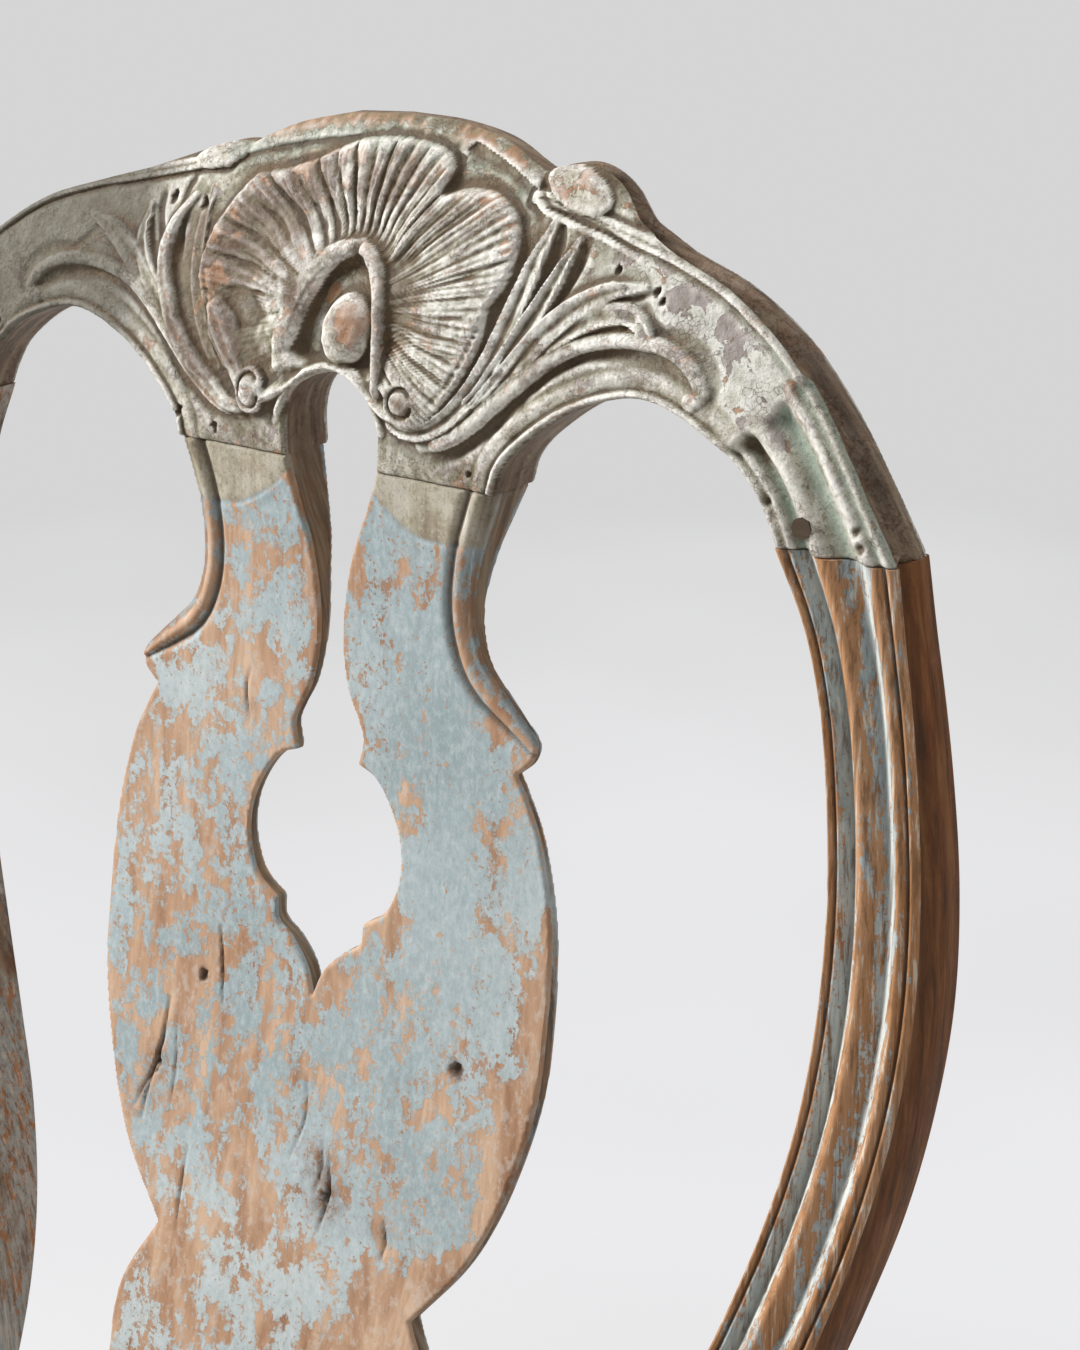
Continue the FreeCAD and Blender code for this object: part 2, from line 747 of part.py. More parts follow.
def splat_shoe():
    """The moulded block on the rear rail that holds the splat's foot."""
    half = size.post_inner
    front, back = rear_rail_front, rear_rail_back
    corners = [(-half, front), (half, front), (half, back), (-half, back)]
    body = prism("shoe_block", corners, rail_top, shoe_top)
    slope = doc.addObject("Part::Chamfer", "shoe_slope")
    slope.Base = body
    doc.recompute()
    edge = next(
        i for i, e in enumerate(body.Shape.Edges, 1)
        if all(abs(v.Y - front) < SAME_POINT and abs(v.Z - shoe_top) < SAME_POINT for v in e.Vertexes)
    )
    down = float(size.shoe_height * SHOE_SLOPE_SHARE)
    slope.Edges = [(edge, down, down / 2)]
    foot = shoe_top - size.shoe_height / 2
    room = size.splat_base_half + size.joint_play
    slot = box(
        "shoe_slot",
        (-room, face_at(foot) - size.joint_play, foot - size.joint_play),
        (room, face_at(shoe_top) + size.splat_thick + size.joint_play, shoe_top + size.overrun),
    )
    return finished(cut("shoe", slope, slot), "splat_shoe")


splat_shoe()

# Rear posts. Each row of the upper part gives shares: height, inner and outer edge, how far it stands
# forward of the splat's face, depth and how full the moulding is.
POST_SHARES = (
    (0.028, 0.64, 0.819, 1.0, 1.0, 0.0),
    (0.097, 0.642, 0.817, 0.62, 1.0, 0.5),
    (0.166, 0.65, 0.819, 0.31, 0.99, 1.0),
    (0.247, 0.674, 0.836, 0.1, 0.98, 1.0),
    (0.328, 0.716, 0.866, 0.0, 0.965, 1.0),
    (0.406, 0.765, 0.908, 0.0, 0.94, 1.0),
    (0.49, 0.81, 0.95, 0.0, 0.89, 1.0),
    (0.58, 0.843, 0.981, 0.0, 0.81, 1.0),
    (0.66, 0.855, 0.994, 0.0, 0.76, 1.0),
    (0.752, 0.853, 0.989, 0.0, 0.7, 1.0),
    (0.835, 0.838, 0.972, 0.0, 0.64, 1.0),
    (0.89, 0.822, 0.957, 0.0, 0.6, 1.0),
    (0.95, 0.79, 0.938, 0.0, 0.565, 1.0),
    (1.0, 0.744, 0.924, 0.0, 0.545, 1.0),
)
# The moulding across the post's face: each stretch's start, middle and end, as shares of the width
# and of the moulding's depth
MOULDING_SHARES = (
    ((0, 0.6), (0.05, 0.12), (0.13, 0.35)),
    ((0.13, 0.35), (0.26, 0.95), (0.4, 0.4)),
    ((0.4, 0.4), (0.53, 0), (0.66, 0.4)),
    ((0.66, 0.4), (0.74, 0.8), (0.82, 0.4)),
    ((0.82, 0.4), (0.92, 0.05), (1, 0.6)),
)
# The rear leg below the seat. Each row gives shares: height, how far it is slimmed, and its sweep back
LOWER_POST_SHARES = (
    (0, 1, 1), (0.11, 0.86, 0.82), (0.27, 0.62, 0.54), (0.54, 0.28, 0.2), (0.8, 0.07, 0.03), (1, 0, 0),
)


def post_section(inner, outer, front, depth, height, full):
    """One level section of the upper post, with its moulded face."""
    deep = size.moulding_depth * full

    def point(u, v):
        return (float(inner + u * (outer - inner)), float(front + v * deep), float(height))

    edges = [curve([point(*p) for p in stretch]) for stretch in MOULDING_SHARES]
    back = float(front + depth)
    corners = [
        Vector(*point(*MOULDING_SHARES[-1][2])), Vector(float(outer), back, float(height)),
        Vector(float(inner), back, float(height)), Vector(*point(*MOULDING_SHARES[0][0])),
    ]
    edges += [Part.LineSegment(a, b).toShape() for a, b in zip(corners, corners[1:])]
    return Part.Wire(edges)


def rounded_section(x_low, x_high, y_low, y_high, height, radius):
    """A level rectangle with round corners."""
    x_low, x_high, y_low, y_high, z, r = map(float, (x_low, x_high, y_low, y_high, height, radius))
    slack = r * QUARTER_BULGE_SHARE
    stations = [
        ((x_low + r, y_low), (x_high - r, y_low), (x_high - slack, y_low + slack)),
        ((x_high, y_low + r), (x_high, y_high - r), (x_high - slack, y_high - slack)),
        ((x_high - r, y_high), (x_low + r, y_high), (x_low + slack, y_high - slack)),
        ((x_low, y_high - r), (x_low, y_low + r), (x_low + slack, y_low + slack)),
    ]
    edges = []
    for i, (start, end, bulge) in enumerate(stations):
        after = stations[(i + 1) % len(stations)][0]
        edges.append(Part.LineSegment(Vector(*start, z), Vector(*end, z)).toShape())
        edges.append(Part.Arc(Vector(*end, z), Vector(*bulge, z), Vector(*after, z)).toShape())
    return Part.Wire(edges)


def upper_post():
    """The post above the seat: a moulded bar that curves out and back in to the crest."""
    rise = size.joint_height - rail_top
    low = rail_top + POST_SHARES[0][0] * rise
    step = face_at(low) - post_front
    sections = []
    for height_share, inner, outer, proud, depth, full in POST_SHARES:
        height = rail_top + height_share * rise
        front = face_at(height) - proud * step
        half = size.back_half_width
        sections.append(post_section(
            inner * half, outer * half, front, depth * size.post_depth, height, full
        ))
    return free_form("upper_post", Part.makeLoft(sections, True, True))


def lower_post_section(share, slim, sweep):
    """A section of the rear leg, which narrows and sweeps back to the floor."""
    narrow = slim * (size.post_width - size.post_foot_width) / 2
    shallow = slim * (size.post_depth - size.post_foot_depth)
    back_shift = sweep * size.rear_sweep
    y_low = post_front + back_shift
    return (
        size.post_inner + narrow, post_outer - narrow, y_low, y_low + size.post_depth - shallow,
        rail_bottom * share,
    )


def lower_post():
    """The post below the seat: a square leg that sweeps back."""
    radius = size.corner_round / 2
    sections = [rounded_section(*lower_post_section(*row), radius) for row in LOWER_POST_SHARES]
    return free_form("lower_post", Part.makeLoft(sections, True, True))


# Tenons of the rails and the pegs that hold them, on the right side
def at_share(low, high, share):
    return low + share * (high - low)


front_tenon_y = size.rail_inset - size.seat_front + size.tenon_set
front_tenon = tenon(
    "front_rail_tenon",
    (leg_inner - size.overrun / 2, front_tenon_y, tenon_low),
    (leg_inner + size.rail_tenon, front_tenon_y + size.tenon_thick, tenon_high),
)
side_front_x = leg_inner + size.leg_block / 2
side_front_tenon = tenon(
    "side_rail_front_tenon",
    (side_front_x - size.tenon_thick / 2, leg_back - size.rail_tenon, tenon_low),
    (side_front_x + size.tenon_thick / 2, leg_back + size.overrun / 2, tenon_high),
)
side_rear_x = size.post_inner + size.post_width / 2
side_rear_tenon = tenon(
    "side_rail_rear_tenon",
    (side_rear_x - size.tenon_thick / 2, post_front - size.overrun / 2, tenon_low),
    (side_rear_x + size.tenon_thick / 2, post_front + size.rail_tenon, tenon_high),
)
rear_middle = rear_rail_front + size.rear_rail_thick / 2
rear_tenon = tenon(
    "rear_rail_tenon",
    (size.post_inner - size.overrun / 2, rear_middle - size.tenon_thick / 2, tenon_low),
    (size.post_inner + size.rear_rail_tenon, rear_middle + size.tenon_thick / 2, tenon_high),
)


def rail_pegs():
    """The pegs at the right side's rail joints: into the front, the side and the back of leg and post."""
    middle = (tenon_low + tenon_high) / 2
    spots = (
        ("front_peg", (leg_inner + size.rail_tenon / 2, -size.seat_front, middle), (0, 1, 0)),
        ("side_front_peg", (size.front_half_width, leg_back - size.rail_tenon / 2, middle), (-1, 0, 0)),
        ("side_rear_peg", (post_outer, post_front + size.rail_tenon / 2, middle), (-1, 0, 0)),
        ("rear_peg", (size.post_inner + size.rear_rail_tenon / 2, post_back, middle), (0, -1, 0)),
    )
    return [peg(*spot) for spot in spots]


pegs = rail_pegs()
peg_holes = [hole for made, hole in pegs]

# Front legs. Each row gives shares: height, and how far the outer and the inner faces lie outside
# those of the block at the leg's top.
LEG_SHARES = (
    (0, -0.1, 0.26), (0.02, -0.06, 0.22), (0.065, -0.08, 0.2), (0.13, -0.2, 0.24), (0.24, -0.28, 0.2),
    (0.4, -0.24, 0.24), (0.56, -0.1, 0.16), (0.72, 0.06, 0.07), (0.86, 0.18, 0.02), (0.94, 0.14, 0),
    (1, 0, 0),
)
# How round the leg's corners are at each of those levels
ROUND_SHARES = (0.9, 1, 1, 1, 1, 1, 1, 0.9, 0.8, 0.7, 0.5)


def leg_at(share, outer, inner):
    """The four edges of the front leg at a share of its height."""
    return (
        leg_inner + inner * size.leg_block, size.front_half_width + outer * size.leg_block,
        -size.seat_front - outer * size.leg_block, leg_back - inner * size.leg_block,
        rail_bottom * share,
    )


well_front = size.rail_wall - size.seat_front
well_front_half = size.front_half_width - size.rail_wall - 2 * size.rail_inset
well_rear_half = post_outer - size.rail_wall - size.rail_inset


def well_x(y):
    """Half the width between the walls that hold the loose seat."""
    return at_share(well_front_half, well_rear_half, (y - well_front) / (post_front - well_front))


def front_leg():
    """A cabriole leg under a block that the rails are joined to."""
    sections = [
        rounded_section(*leg_at(*row), size.corner_round * round_share)
        for row, round_share in zip(LEG_SHARES, ROUND_SHARES)
    ]
    curved = free_form("right_leg_curve", Part.makeLoft(sections, True, True))
    front, outer = -size.seat_front, size.front_half_width
    block = prism(
        "right_leg_block", [(leg_inner, front), (outer, front), (outer, leg_back), (leg_inner, leg_back)],
        rail_bottom, ledge,
    )
    corner = [
        (leg_inner, front), (outer, front), (outer, leg_back), (well_x(leg_back), leg_back),
        (well_front_half, well_front), (leg_inner, well_front),
    ]
    add_prism(block, "leg_corner", corner, ledge, rail_top)
    return fuse("right_leg_blank", curved, block)


leg_blank = front_leg()
post_blank = fuse(
    "right_post_blank", upper_post(), lower_post(),
    box("post_block", (size.post_inner, post_front, rail_bottom),
        (post_outer, post_back, rail_top + POST_SHARES[0][0] * (size.joint_height - rail_top))),
)


def level_of(table, share):
    """The row of a table of sections at a share of the height."""
    return [smooth([(row[0], row[i]) for row in table])(share) for i in range(1, len(table[0]))]


# Stretchers: one at each side, and one across between them
stretch_share = size.stretcher_height / rail_bottom
front_level = leg_at(stretch_share, *level_of(LEG_SHARES, stretch_share))
rear_level = lower_post_section(stretch_share, *level_of(LOWER_POST_SHARES, stretch_share))
front_x, front_y = (front_level[0] + front_level[1]) / 2, (front_level[2] + front_level[3]) / 2
rear_x, rear_y = (rear_level[0] + rear_level[1]) / 2, (rear_level[2] + rear_level[3]) / 2
cross_y = (front_y + rear_y) / 2
cross_x = (front_x + rear_x) / 2
half_bar = size.stretcher_width / 2
bar_low = size.stretcher_height - size.stretcher_deep / 2
bar_high = size.stretcher_height + size.stretcher_deep / 2


half_tongue = size.stretcher_tenon / 2
tongue_low = size.stretcher_height - size.stretcher_tenon
tongue_high = size.stretcher_height + size.stretcher_tenon
front_tongue = tenon(
    "side_bar_front_tenon", (front_x - half_tongue, front_y, tongue_low),
    (front_x + half_tongue, front_y + size.tongue_reach, tongue_high),
)
rear_tongue = tenon(
    "side_bar_rear_tenon", (rear_x - half_tongue, rear_y - size.tongue_reach, tongue_low),
    (rear_x + half_tongue, rear_y, tongue_high),
)
cross_tongue = tenon(
    "cross_bar_tenon", (cross_x - size.tongue_reach, cross_y - half_tongue, tongue_low),
    (cross_x, cross_y + half_tongue, tongue_high),
)


def side_stretcher():
    """A bar from a front leg to a rear one, shaped to both."""
    bar = prism("right_bar", [
        (front_x - half_bar, front_y), (front_x + half_bar, front_y), (rear_x + half_bar, rear_y),
        (rear_x - half_bar, rear_y),
    ], bar_low, bar_high)
    eased = ease_edges("right_bar_eased", bar, size.corner_round / 2)
    coped = cut("right_bar_coped", eased, leg_blank, post_blank)
    whole = fuse("right_bar_whole", coped, front_tongue[0], rear_tongue[0])
    return cut("right_stretcher", whole, cross_tongue[1])


def ease_edges(name, base, radius):
    """Takes the sharpness off the long level edges of a bar."""
    doc.recompute()
    node = doc.addObject("Part::Chamfer", name)
    node.Base = base
    long_edges = [
        i for i, e in enumerate(base.Shape.Edges, 1)
        if abs(e.Vertexes[0].Z - e.Vertexes[-1].Z) < SAME_POINT and e.Length > 2 * size.stretcher_deep
    ]
    node.Edges = [(i, float(radius), float(radius)) for i in long_edges]
    return node


right_stretcher = side_stretcher()
finished(right_stretcher, "right_side_stretcher")
finished(mirrored("left_stretcher", right_stretcher), "left_side_stretcher")


def cross_stretcher():
    """The bar between the side stretchers."""
    cross = prism("cross_bar", [
        (-cross_x, cross_y - half_bar), (cross_x, cross_y - half_bar), (cross_x, cross_y + half_bar),
        (-cross_x, cross_y + half_bar),
    ], bar_low, bar_high)
    eased = ease_edges("cross_bar_eased", cross, size.corner_round / 2)
    whole_side = prism("right_bar_room", [
        (front_x - half_bar, front_y), (front_x + half_bar, front_y), (rear_x + half_bar, rear_y),
        (rear_x - half_bar, rear_y),
    ], bar_low - size.overrun, bar_high + size.overrun)
    coped = cut("cross_bar_coped", eased, *both(whole_side))
    return finished(fuse("cross_bar_whole", coped, *both(cross_tongue[0])), "cross_stretcher")


cross_stretcher()


def posts():
    """Both rear posts, with their mortises and peg holes."""
    standing = fuse("right_post_standing", post_blank, post_top[0])
    right = cut(
        "right_post", standing, side_rear_tenon[1], rear_tenon[1], rear_tongue[1], peg_holes[2], peg_holes[3],
        crest_peg[1],
    )
    finished(right, "right_rear_post")
    finished(mirrored("left_post", right), "left_rear_post")


def legs():
    """Both front legs, with their mortises and peg holes."""
    right = cut(
        "right_leg", leg_blank, front_tenon[1], side_front_tenon[1], front_tongue[1], peg_holes[0],
        peg_holes[1],
    )
    finished(right, "right_front_leg")
    finished(mirrored("left_leg", right), "left_front_leg")


posts()
legs()


# Seat rails

def apron_arch(name, middle, half_span, direction, length, start):
    """The low arch sawn out of a rail's lower edge."""
    radius = (half_span * half_span + size.apron_rise * size.apron_rise) / (2 * size.apron_rise)
    low = rail_bottom + size.apron_rise - radius
    at = (start, middle, low) if direction[0] else (middle, start, low)
    return rod(name, radius, length, at, direction)


def front_rail():
    """The front rail, with a ledge for the loose seat and a low arch below."""
    half, front = leg_inner, size.rail_inset - size.seat_front
    back = front + size.rail_thick
    corners = [(-half, front), (half, front), (half, back), (-half, back)]
    body = prism("front_rail_block", corners, rail_bottom, ledge)
    wall = [(-half, front), (half, front), (half, well_front), (-half, well_front)]
    add_prism(body, "front_wall", wall, ledge, rail_top)
    whole = fuse("front_rail_whole", body, *both(front_tenon[0]))
    arch = apron_arch(
        "front_arch", 0, half - size.bracket_length, (0, 1, 0), size.rail_thick + 2 * size.overrun,
        front - size.overrun,
    )
    return finished(cut("front_rail", whole, arch, *both(peg_holes[0])), "front_seat_rail")


rail_x_front = size.front_half_width - size.rail_inset
rail_x_rear = post_outer - size.rail_inset


def side_rail():
    """A side rail, which narrows the seat towards the back."""
    body = prism("right_rail_block", [
        (rail_x_front, leg_back), (rail_x_rear, post_front), (rail_x_rear - size.rail_thick, post_front),
        (rail_x_front - size.rail_thick, leg_back),
    ], rail_bottom, ledge)
    add_prism(body, "side_wall", [
        (rail_x_front, leg_back), (rail_x_rear, post_front), (well_rear_half, post_front),
        (well_x(leg_back), leg_back),
    ], ledge, rail_top)
    whole = fuse("right_rail_whole", body, side_front_tenon[0], side_rear_tenon[0])
    middle = (leg_back + post_front) / 2
    arch = apron_arch(
        "side_arch", middle, (post_front - leg_back) / 2 - size.bracket_length, (1, 0, 0),
        size.front_half_width, size.post_inner - 2 * size.overrun,
    )
    right = cut("right_rail", whole, arch, peg_holes[1], peg_holes[2])
    finished(right, "right_seat_rail")
    finished(mirrored("left_rail", right), "left_seat_rail")


def rear_rail():
    """The rear rail, under the shoe of the splat."""
    half, front, back = size.post_inner, rear_rail_front, rear_rail_back
    corners = [(-half, front), (half, front), (half, back), (-half, back)]
    body = prism("rear_rail_block", corners, rail_bottom, rail_top)
    whole = fuse("rear_rail_whole", body, *both(rear_tenon[0]))
    return finished(cut("rear_rail", whole, *both(peg_holes[3])), "rear_seat_rail")


front_rail()
side_rail()
rear_rail()


# Brackets at the knees, glued under the rails

def knee_brackets():
    """Hollowed brackets in the corners under the front and side rails."""
    lip = size.bracket_lip
    drop = rail_bottom - size.bracket_drop
    face = 2 * size.rail_inset
    front = face - size.seat_front
    blank = box(
        "front_bracket_blank", (leg_inner - size.bracket_length, front, drop),
        (leg_inner, front + size.bracket_thick, rail_bottom),
    )
    hollow = rod(
        "front_bracket_hollow", size.bracket_drop, size.bracket_thick + 2 * size.overrun,
        (leg_inner - size.bracket_length - lip, front - size.overrun, drop - lip), (0, 1, 0),
    )
    outer = size.front_half_width - 2 * face
    side_blank = box(
        "side_bracket_blank", (outer - size.bracket_thick, leg_back, drop),
        (outer, leg_back + size.bracket_length, rail_bottom),
    )
    start = (outer - size.bracket_thick - size.overrun, leg_back + size.bracket_length + lip, drop - lip)
    side_hollow = rod(
        "side_bracket_hollow", size.bracket_drop, size.bracket_thick + 2 * size.overrun, start, (1, 0, 0)
    )
    for name, made, room in (("front", blank, hollow), ("side", side_blank, side_hollow)):
        right = cut(f"right_{name}_bracket", made, room, leg_blank)
        finished(right, f"right_{name}_knee_bracket")
        finished(mirrored(f"left_{name}_bracket", right), f"left_{name}_knee_bracket")


knee_brackets()


def rail_inner_x(y):
    """The inner face of the right side rail."""
    share = (y - leg_back) / (post_front - leg_back)
    return at_share(rail_x_front, rail_x_rear, share) - size.rail_thick


def corner_blocks():
    """Blocks glued into the corners of the rails, cut round the legs and the posts."""
    high = ledge - size.block_drop
    low = high - size.block_height
    inner_front = size.rail_inset - size.seat_front + size.rail_thick
    reach_y = inner_front + size.block_reach
    front = prism("right_front_block", [
        (leg_inner - size.block_reach, inner_front), (leg_inner, inner_front), (leg_inner, leg_back),
        (rail_inner_x(leg_back), leg_back), (rail_inner_x(reach_y), reach_y),
    ], low, high)
    back_y = rear_rail_front - size.block_reach
    rear = prism("right_rear_block", [
        (rail_inner_x(back_y), back_y), (rail_inner_x(post_front), post_front),
        (size.post_inner, post_front), (size.post_inner, rear_rail_front),
        (size.post_inner - size.block_reach, rear_rail_front),
    ], low, high)
    for name, block in (("front", front), ("rear", rear)):
        finished(block, f"right_{name}_corner_block")
        finished(mirrored(f"left_{name}_block", block), f"left_{name}_corner_block")


corner_blocks()


# Drop-in seat

seat_bottom = ledge + size.seat_rest
frame_bottom = seat_bottom + size.cover_thick
frame_top = frame_bottom + size.frame_thick
canvas_bottom = frame_top + 2 * size.webbing_thick
stuffing_bottom = canvas_bottom + size.canvas_thick


def seat_outline(inset):
    """The four corners of the loose seat, drawn in from the walls round it."""
    front, back = well_front + inset, post_front - inset
    front_half, rear_half = well_x(front) - inset, well_x(back) - inset
    return [(-front_half, front), (front_half, front), (rear_half, back), (-rear_half, back)]


frame_inset = size.seat_play + size.cover_thick
tenon_half = size.frame_tenon / 2
frame_middle = frame_bottom + size.frame_thick / 2


def seat_frame():
    """The loose seat's frame of four mortised bars."""
    right_front, right_back = seat_outline(frame_inset)[1:3]
    side = prism("right_frame_block", [
        (right_front[0] - size.frame_width, right_front[1]), right_front, right_back,
        (right_back[0] - size.frame_width, right_back[1]),
    ], frame_bottom, frame_top)

    def inner_x(y):
        share = (y - right_front[1]) / (right_back[1] - right_front[1])
        return at_share(right_front[0], right_back[0], share) - size.frame_width

    mortises = []
    for name, low_y, high_y in (
        ("front", right_front[1], right_front[1] + size.frame_width),
        ("rear", right_back[1] - size.frame_width, right_back[1]),
    ):
        body = prism(f"frame_{name}_block", [
            (-inner_x(low_y), low_y), (inner_x(low_y), low_y), (inner_x(high_y), high_y),
            (-inner_x(high_y), high_y),
        ], frame_bottom, frame_top)
        middle_y = (low_y + high_y) / 2
        root = inner_x(middle_y) - size.overrun / 2
        tip = root + size.overrun / 2 + size.rail_tenon
        made, room = tenon(
            f"frame_{name}_tenon", (root, middle_y - size.frame_width / 4, frame_middle - tenon_half),
            (tip, middle_y + size.frame_width / 4, frame_middle + tenon_half),
        )
        mortises.append(room)
        finished(fuse(f"frame_{name}", body, *both(made)), f"seat_frame_{name}")
    right = cut("frame_right", side, *mortises)
    finished(right, "seat_frame_right")
    finished(mirrored("frame_left", right), "seat_frame_left")


seat_frame()


WEB_PITCH_SHARE = 1.9


def webbing():
    """Three strips from front to back, and three across on top of them."""
    lap = size.frame_width / 2
    front, back = well_front + frame_inset + lap, post_front - frame_inset - lap
    half = size.webbing_width / 2
    middle = frame_top + size.webbing_thick
    strips = []
    for i in (-1, 0, 1):
        x = i * size.webbing_width * WEB_PITCH_SHARE
        strips.append(box(f"web_{i + 1}", (x - half, front, frame_top), (x + half, back, middle)))
        y = (front + back) / 2 + i * size.webbing_width * WEB_PITCH_SHARE
        reach = well_x(y + half) - frame_inset - lap
        strips.append(box(f"cross_web_{i + 1}", (-reach, y - half, middle), (reach, y + half, canvas_bottom)))
    group = doc.addObject("Part::Compound", "webbing")
    group.Links = strips
    return finished(group, "seat_webbing")


webbing()
canvas = prism("canvas", seat_outline(frame_inset + size.canvas_margin), canvas_bottom, stuffing_bottom)
finished(canvas, "seat_canvas")

# The crown of the seat. Each row gives shares: height of the crown, and how far its edge is drawn in
CROWN_SHARES = (
    (0, 0.003), (0.28, 0.006), (0.55, 0.03), (0.76, 0.075), (0.89, 0.14), (0.965, 0.22), (1, 0.36),
)
CROWN_ROUND_SHARE = 0.35


def crown(name, grow):
    """The stuffed form, grown on every side."""
    sections = []
    for height, draw in CROWN_SHARES:
        inset = frame_inset - grow + draw * size.front_half_width
        corners = seat_outline(inset)
        z = stuffing_bottom + height * (size.crown + grow)
        radius = 2 * size.corner_round + draw * CROWN_ROUND_SHARE * size.front_half_width
        sections.append(round_corners(corners, radius, z))
    return free_form(name, Part.makeLoft(sections, True, True))


def round_corners(corners, radius, height):
    """A level wire round a polygon, with each corner rounded."""
    points = [Vector(float(x), float(y), float(height)) for x, y in corners]
    count = len(points)
    stations = []
    for i, point in enumerate(points):
        to_last = (points[i - 1] - point).normalize() * float(radius)
        to_next = (points[(i + 1) % count] - point).normalize() * float(radius)
        bulge = point + (to_last + to_next) * QUARTER_BULGE_SHARE
        stations.append((point + to_last, bulge, point + to_next))
    edges = []
    for i, (start, bulge, end) in enumerate(stations):
        edges.append(Part.Arc(start, bulge, end).toShape())
        edges.append(Part.LineSegment(end, stations[(i + 1) % count][0]).toShape())
    return Part.Wire(edges)


def soft_seat():
    """The stuffing, and the cover that is drawn over it and turned in below."""
    finished(crown("stuffing", -size.seat_rest), "seat_stuffing")
    cover = fuse(
        "cover_outside", prism("cover_side", seat_outline(size.seat_play), seat_bottom, stuffing_bottom),
        crown("cover_crown", size.cover_thick),
    )
    inside = crown("cover_hollow", 0)
    room = prism("cover_room", seat_outline(frame_inset), frame_bottom, stuffing_bottom)
    turned = seat_outline(size.seat_play + size.cover_turn)
    opening = prism("cover_opening", turned, seat_bottom - size.overrun, frame_bottom)
    finished(cut("cover", cover, inside, room, opening), "seat_cover")


soft_seat()


TACK_SIDES = 4


def tacks():
    """Tacks driven up through the cover's turned edge into the seat frame."""
    corners = seat_outline(size.seat_play + size.cover_turn - 2 * size.tack_radius)
    group = []
    for i, (start, end) in enumerate(zip(corners, corners[1:] + corners[:1])):
        run = math.hypot(end[0] - start[0], end[1] - start[1])
        count = int(run // float(size.tack_pitch))
        for k in range(count):
            share = (k + 0.5) / count
            x, y = at_share(start[0], end[0], share), at_share(start[1], end[1], share)
            low, up = (x, y, seat_bottom - size.tack_head), (0, 0, 1)
            head = facets(f"tack_head_{i}_{k}", 2 * TACK_SIDES, size.tack_radius, size.tack_head, low, up)
            length = size.tack_head + size.tack_length
            shank = facets(f"tack_shank_{i}_{k}", TACK_SIDES, size.tack_radius / 4, length, low, up)
            group.append(fuse(f"tack_{i}_{k}", head, shank))
    node = doc.addObject("Part::Compound", "tacks")
    node.Links = group
    return finished(node, "seat_tacks")


tacks()


def peg_group(name, made, label):
    """Pegs of both sides, as one group of separate solids."""
    node = doc.addObject("Part::Compound", name)
    node.Links = [one for each in made for one in both(each)]
    return finished(node, label)


peg_group("pegs_of_crest", [crest_peg[0]], "crest_pegs")
peg_group("pegs_of_rails", [made for made, hole in pegs], "rail_pegs")

doc.recompute()
for node in doc.Objects:
    bad = [state for state in node.State if state in ("Invalid", "Error")]
    if bad:
        raise RuntimeError(f"{node.Name} failed: {node.State}")

os.makedirs("parts", exist_ok=True)
for node in parts:
    if node.Shape.isNull() or not node.Shape.isValid():
        raise RuntimeError(f"{node.Label} has no valid shape")
for node in parts:
    node.Shape.exportStep(f"parts/{node.Label}.step")
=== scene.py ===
import json
import math

import bpy
import numpy as np
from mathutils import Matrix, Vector


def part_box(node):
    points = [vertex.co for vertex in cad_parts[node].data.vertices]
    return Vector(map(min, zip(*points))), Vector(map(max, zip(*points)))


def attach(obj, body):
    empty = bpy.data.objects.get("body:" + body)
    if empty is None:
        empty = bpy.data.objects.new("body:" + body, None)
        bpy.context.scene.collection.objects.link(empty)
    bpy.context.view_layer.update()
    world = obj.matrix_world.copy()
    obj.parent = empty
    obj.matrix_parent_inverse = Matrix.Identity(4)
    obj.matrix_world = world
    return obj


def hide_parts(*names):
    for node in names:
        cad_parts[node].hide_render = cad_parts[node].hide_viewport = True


# A painted rococo chair with a carved crest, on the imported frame. Blender works in metres. The carving's
# tables are in millimetres: x from the chair's middle and h above the tip of the splat's keyhole.

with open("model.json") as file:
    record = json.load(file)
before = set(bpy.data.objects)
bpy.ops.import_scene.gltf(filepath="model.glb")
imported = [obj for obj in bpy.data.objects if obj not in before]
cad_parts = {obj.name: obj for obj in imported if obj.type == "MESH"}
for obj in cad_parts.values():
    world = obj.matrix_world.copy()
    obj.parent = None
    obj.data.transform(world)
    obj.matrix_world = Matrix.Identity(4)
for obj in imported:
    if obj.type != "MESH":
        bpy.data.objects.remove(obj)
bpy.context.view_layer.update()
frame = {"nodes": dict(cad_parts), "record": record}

MM = 0.001
SHARP = math.radians(48)
# The tip's height in metres, how far back the back stands, the joint of crest and splat, the crest's top
TIP_HEIGHT = 0.680
BACK_SET = 202.6
JOINT = 191.0
CREST_TOP = 304.0
# Where the sides of the stiles and of the splat's necks meet the joint, from the middle outwards
NECK_IN, NECK_OUT, STILE_IN, STILE_OUT = 20, 69, 175, 216.4
# Half the width of the shell's part of the crest
SHELL_HALF = 66
CREST_CELL = 0.6
SPLAT_CELL = 0.8
NODES = frame["nodes"]


# Curves and fields

def smooth(table):
    """A smooth function through (place, value) rows, for arrays."""
    places = np.array([row[0] for row in table], float)
    values = np.array([row[1] for row in table], float)
    slopes = np.gradient(values, places)

    def value_at(place):
        place = np.clip(np.asarray(place, float), places[0], places[-1])
        i = np.clip(np.searchsorted(places, place, side="right") - 1, 0, len(places) - 2)
        span = places[i + 1] - places[i]
        t = (place - places[i]) / span
        rise = values[i + 1] - values[i]
        a, b = slopes[i] * span, slopes[i + 1] * span
        return values[i] + t * (a + t * (3 * rise - 2 * a - b + t * (a + b - 2 * rise)))

    return value_at


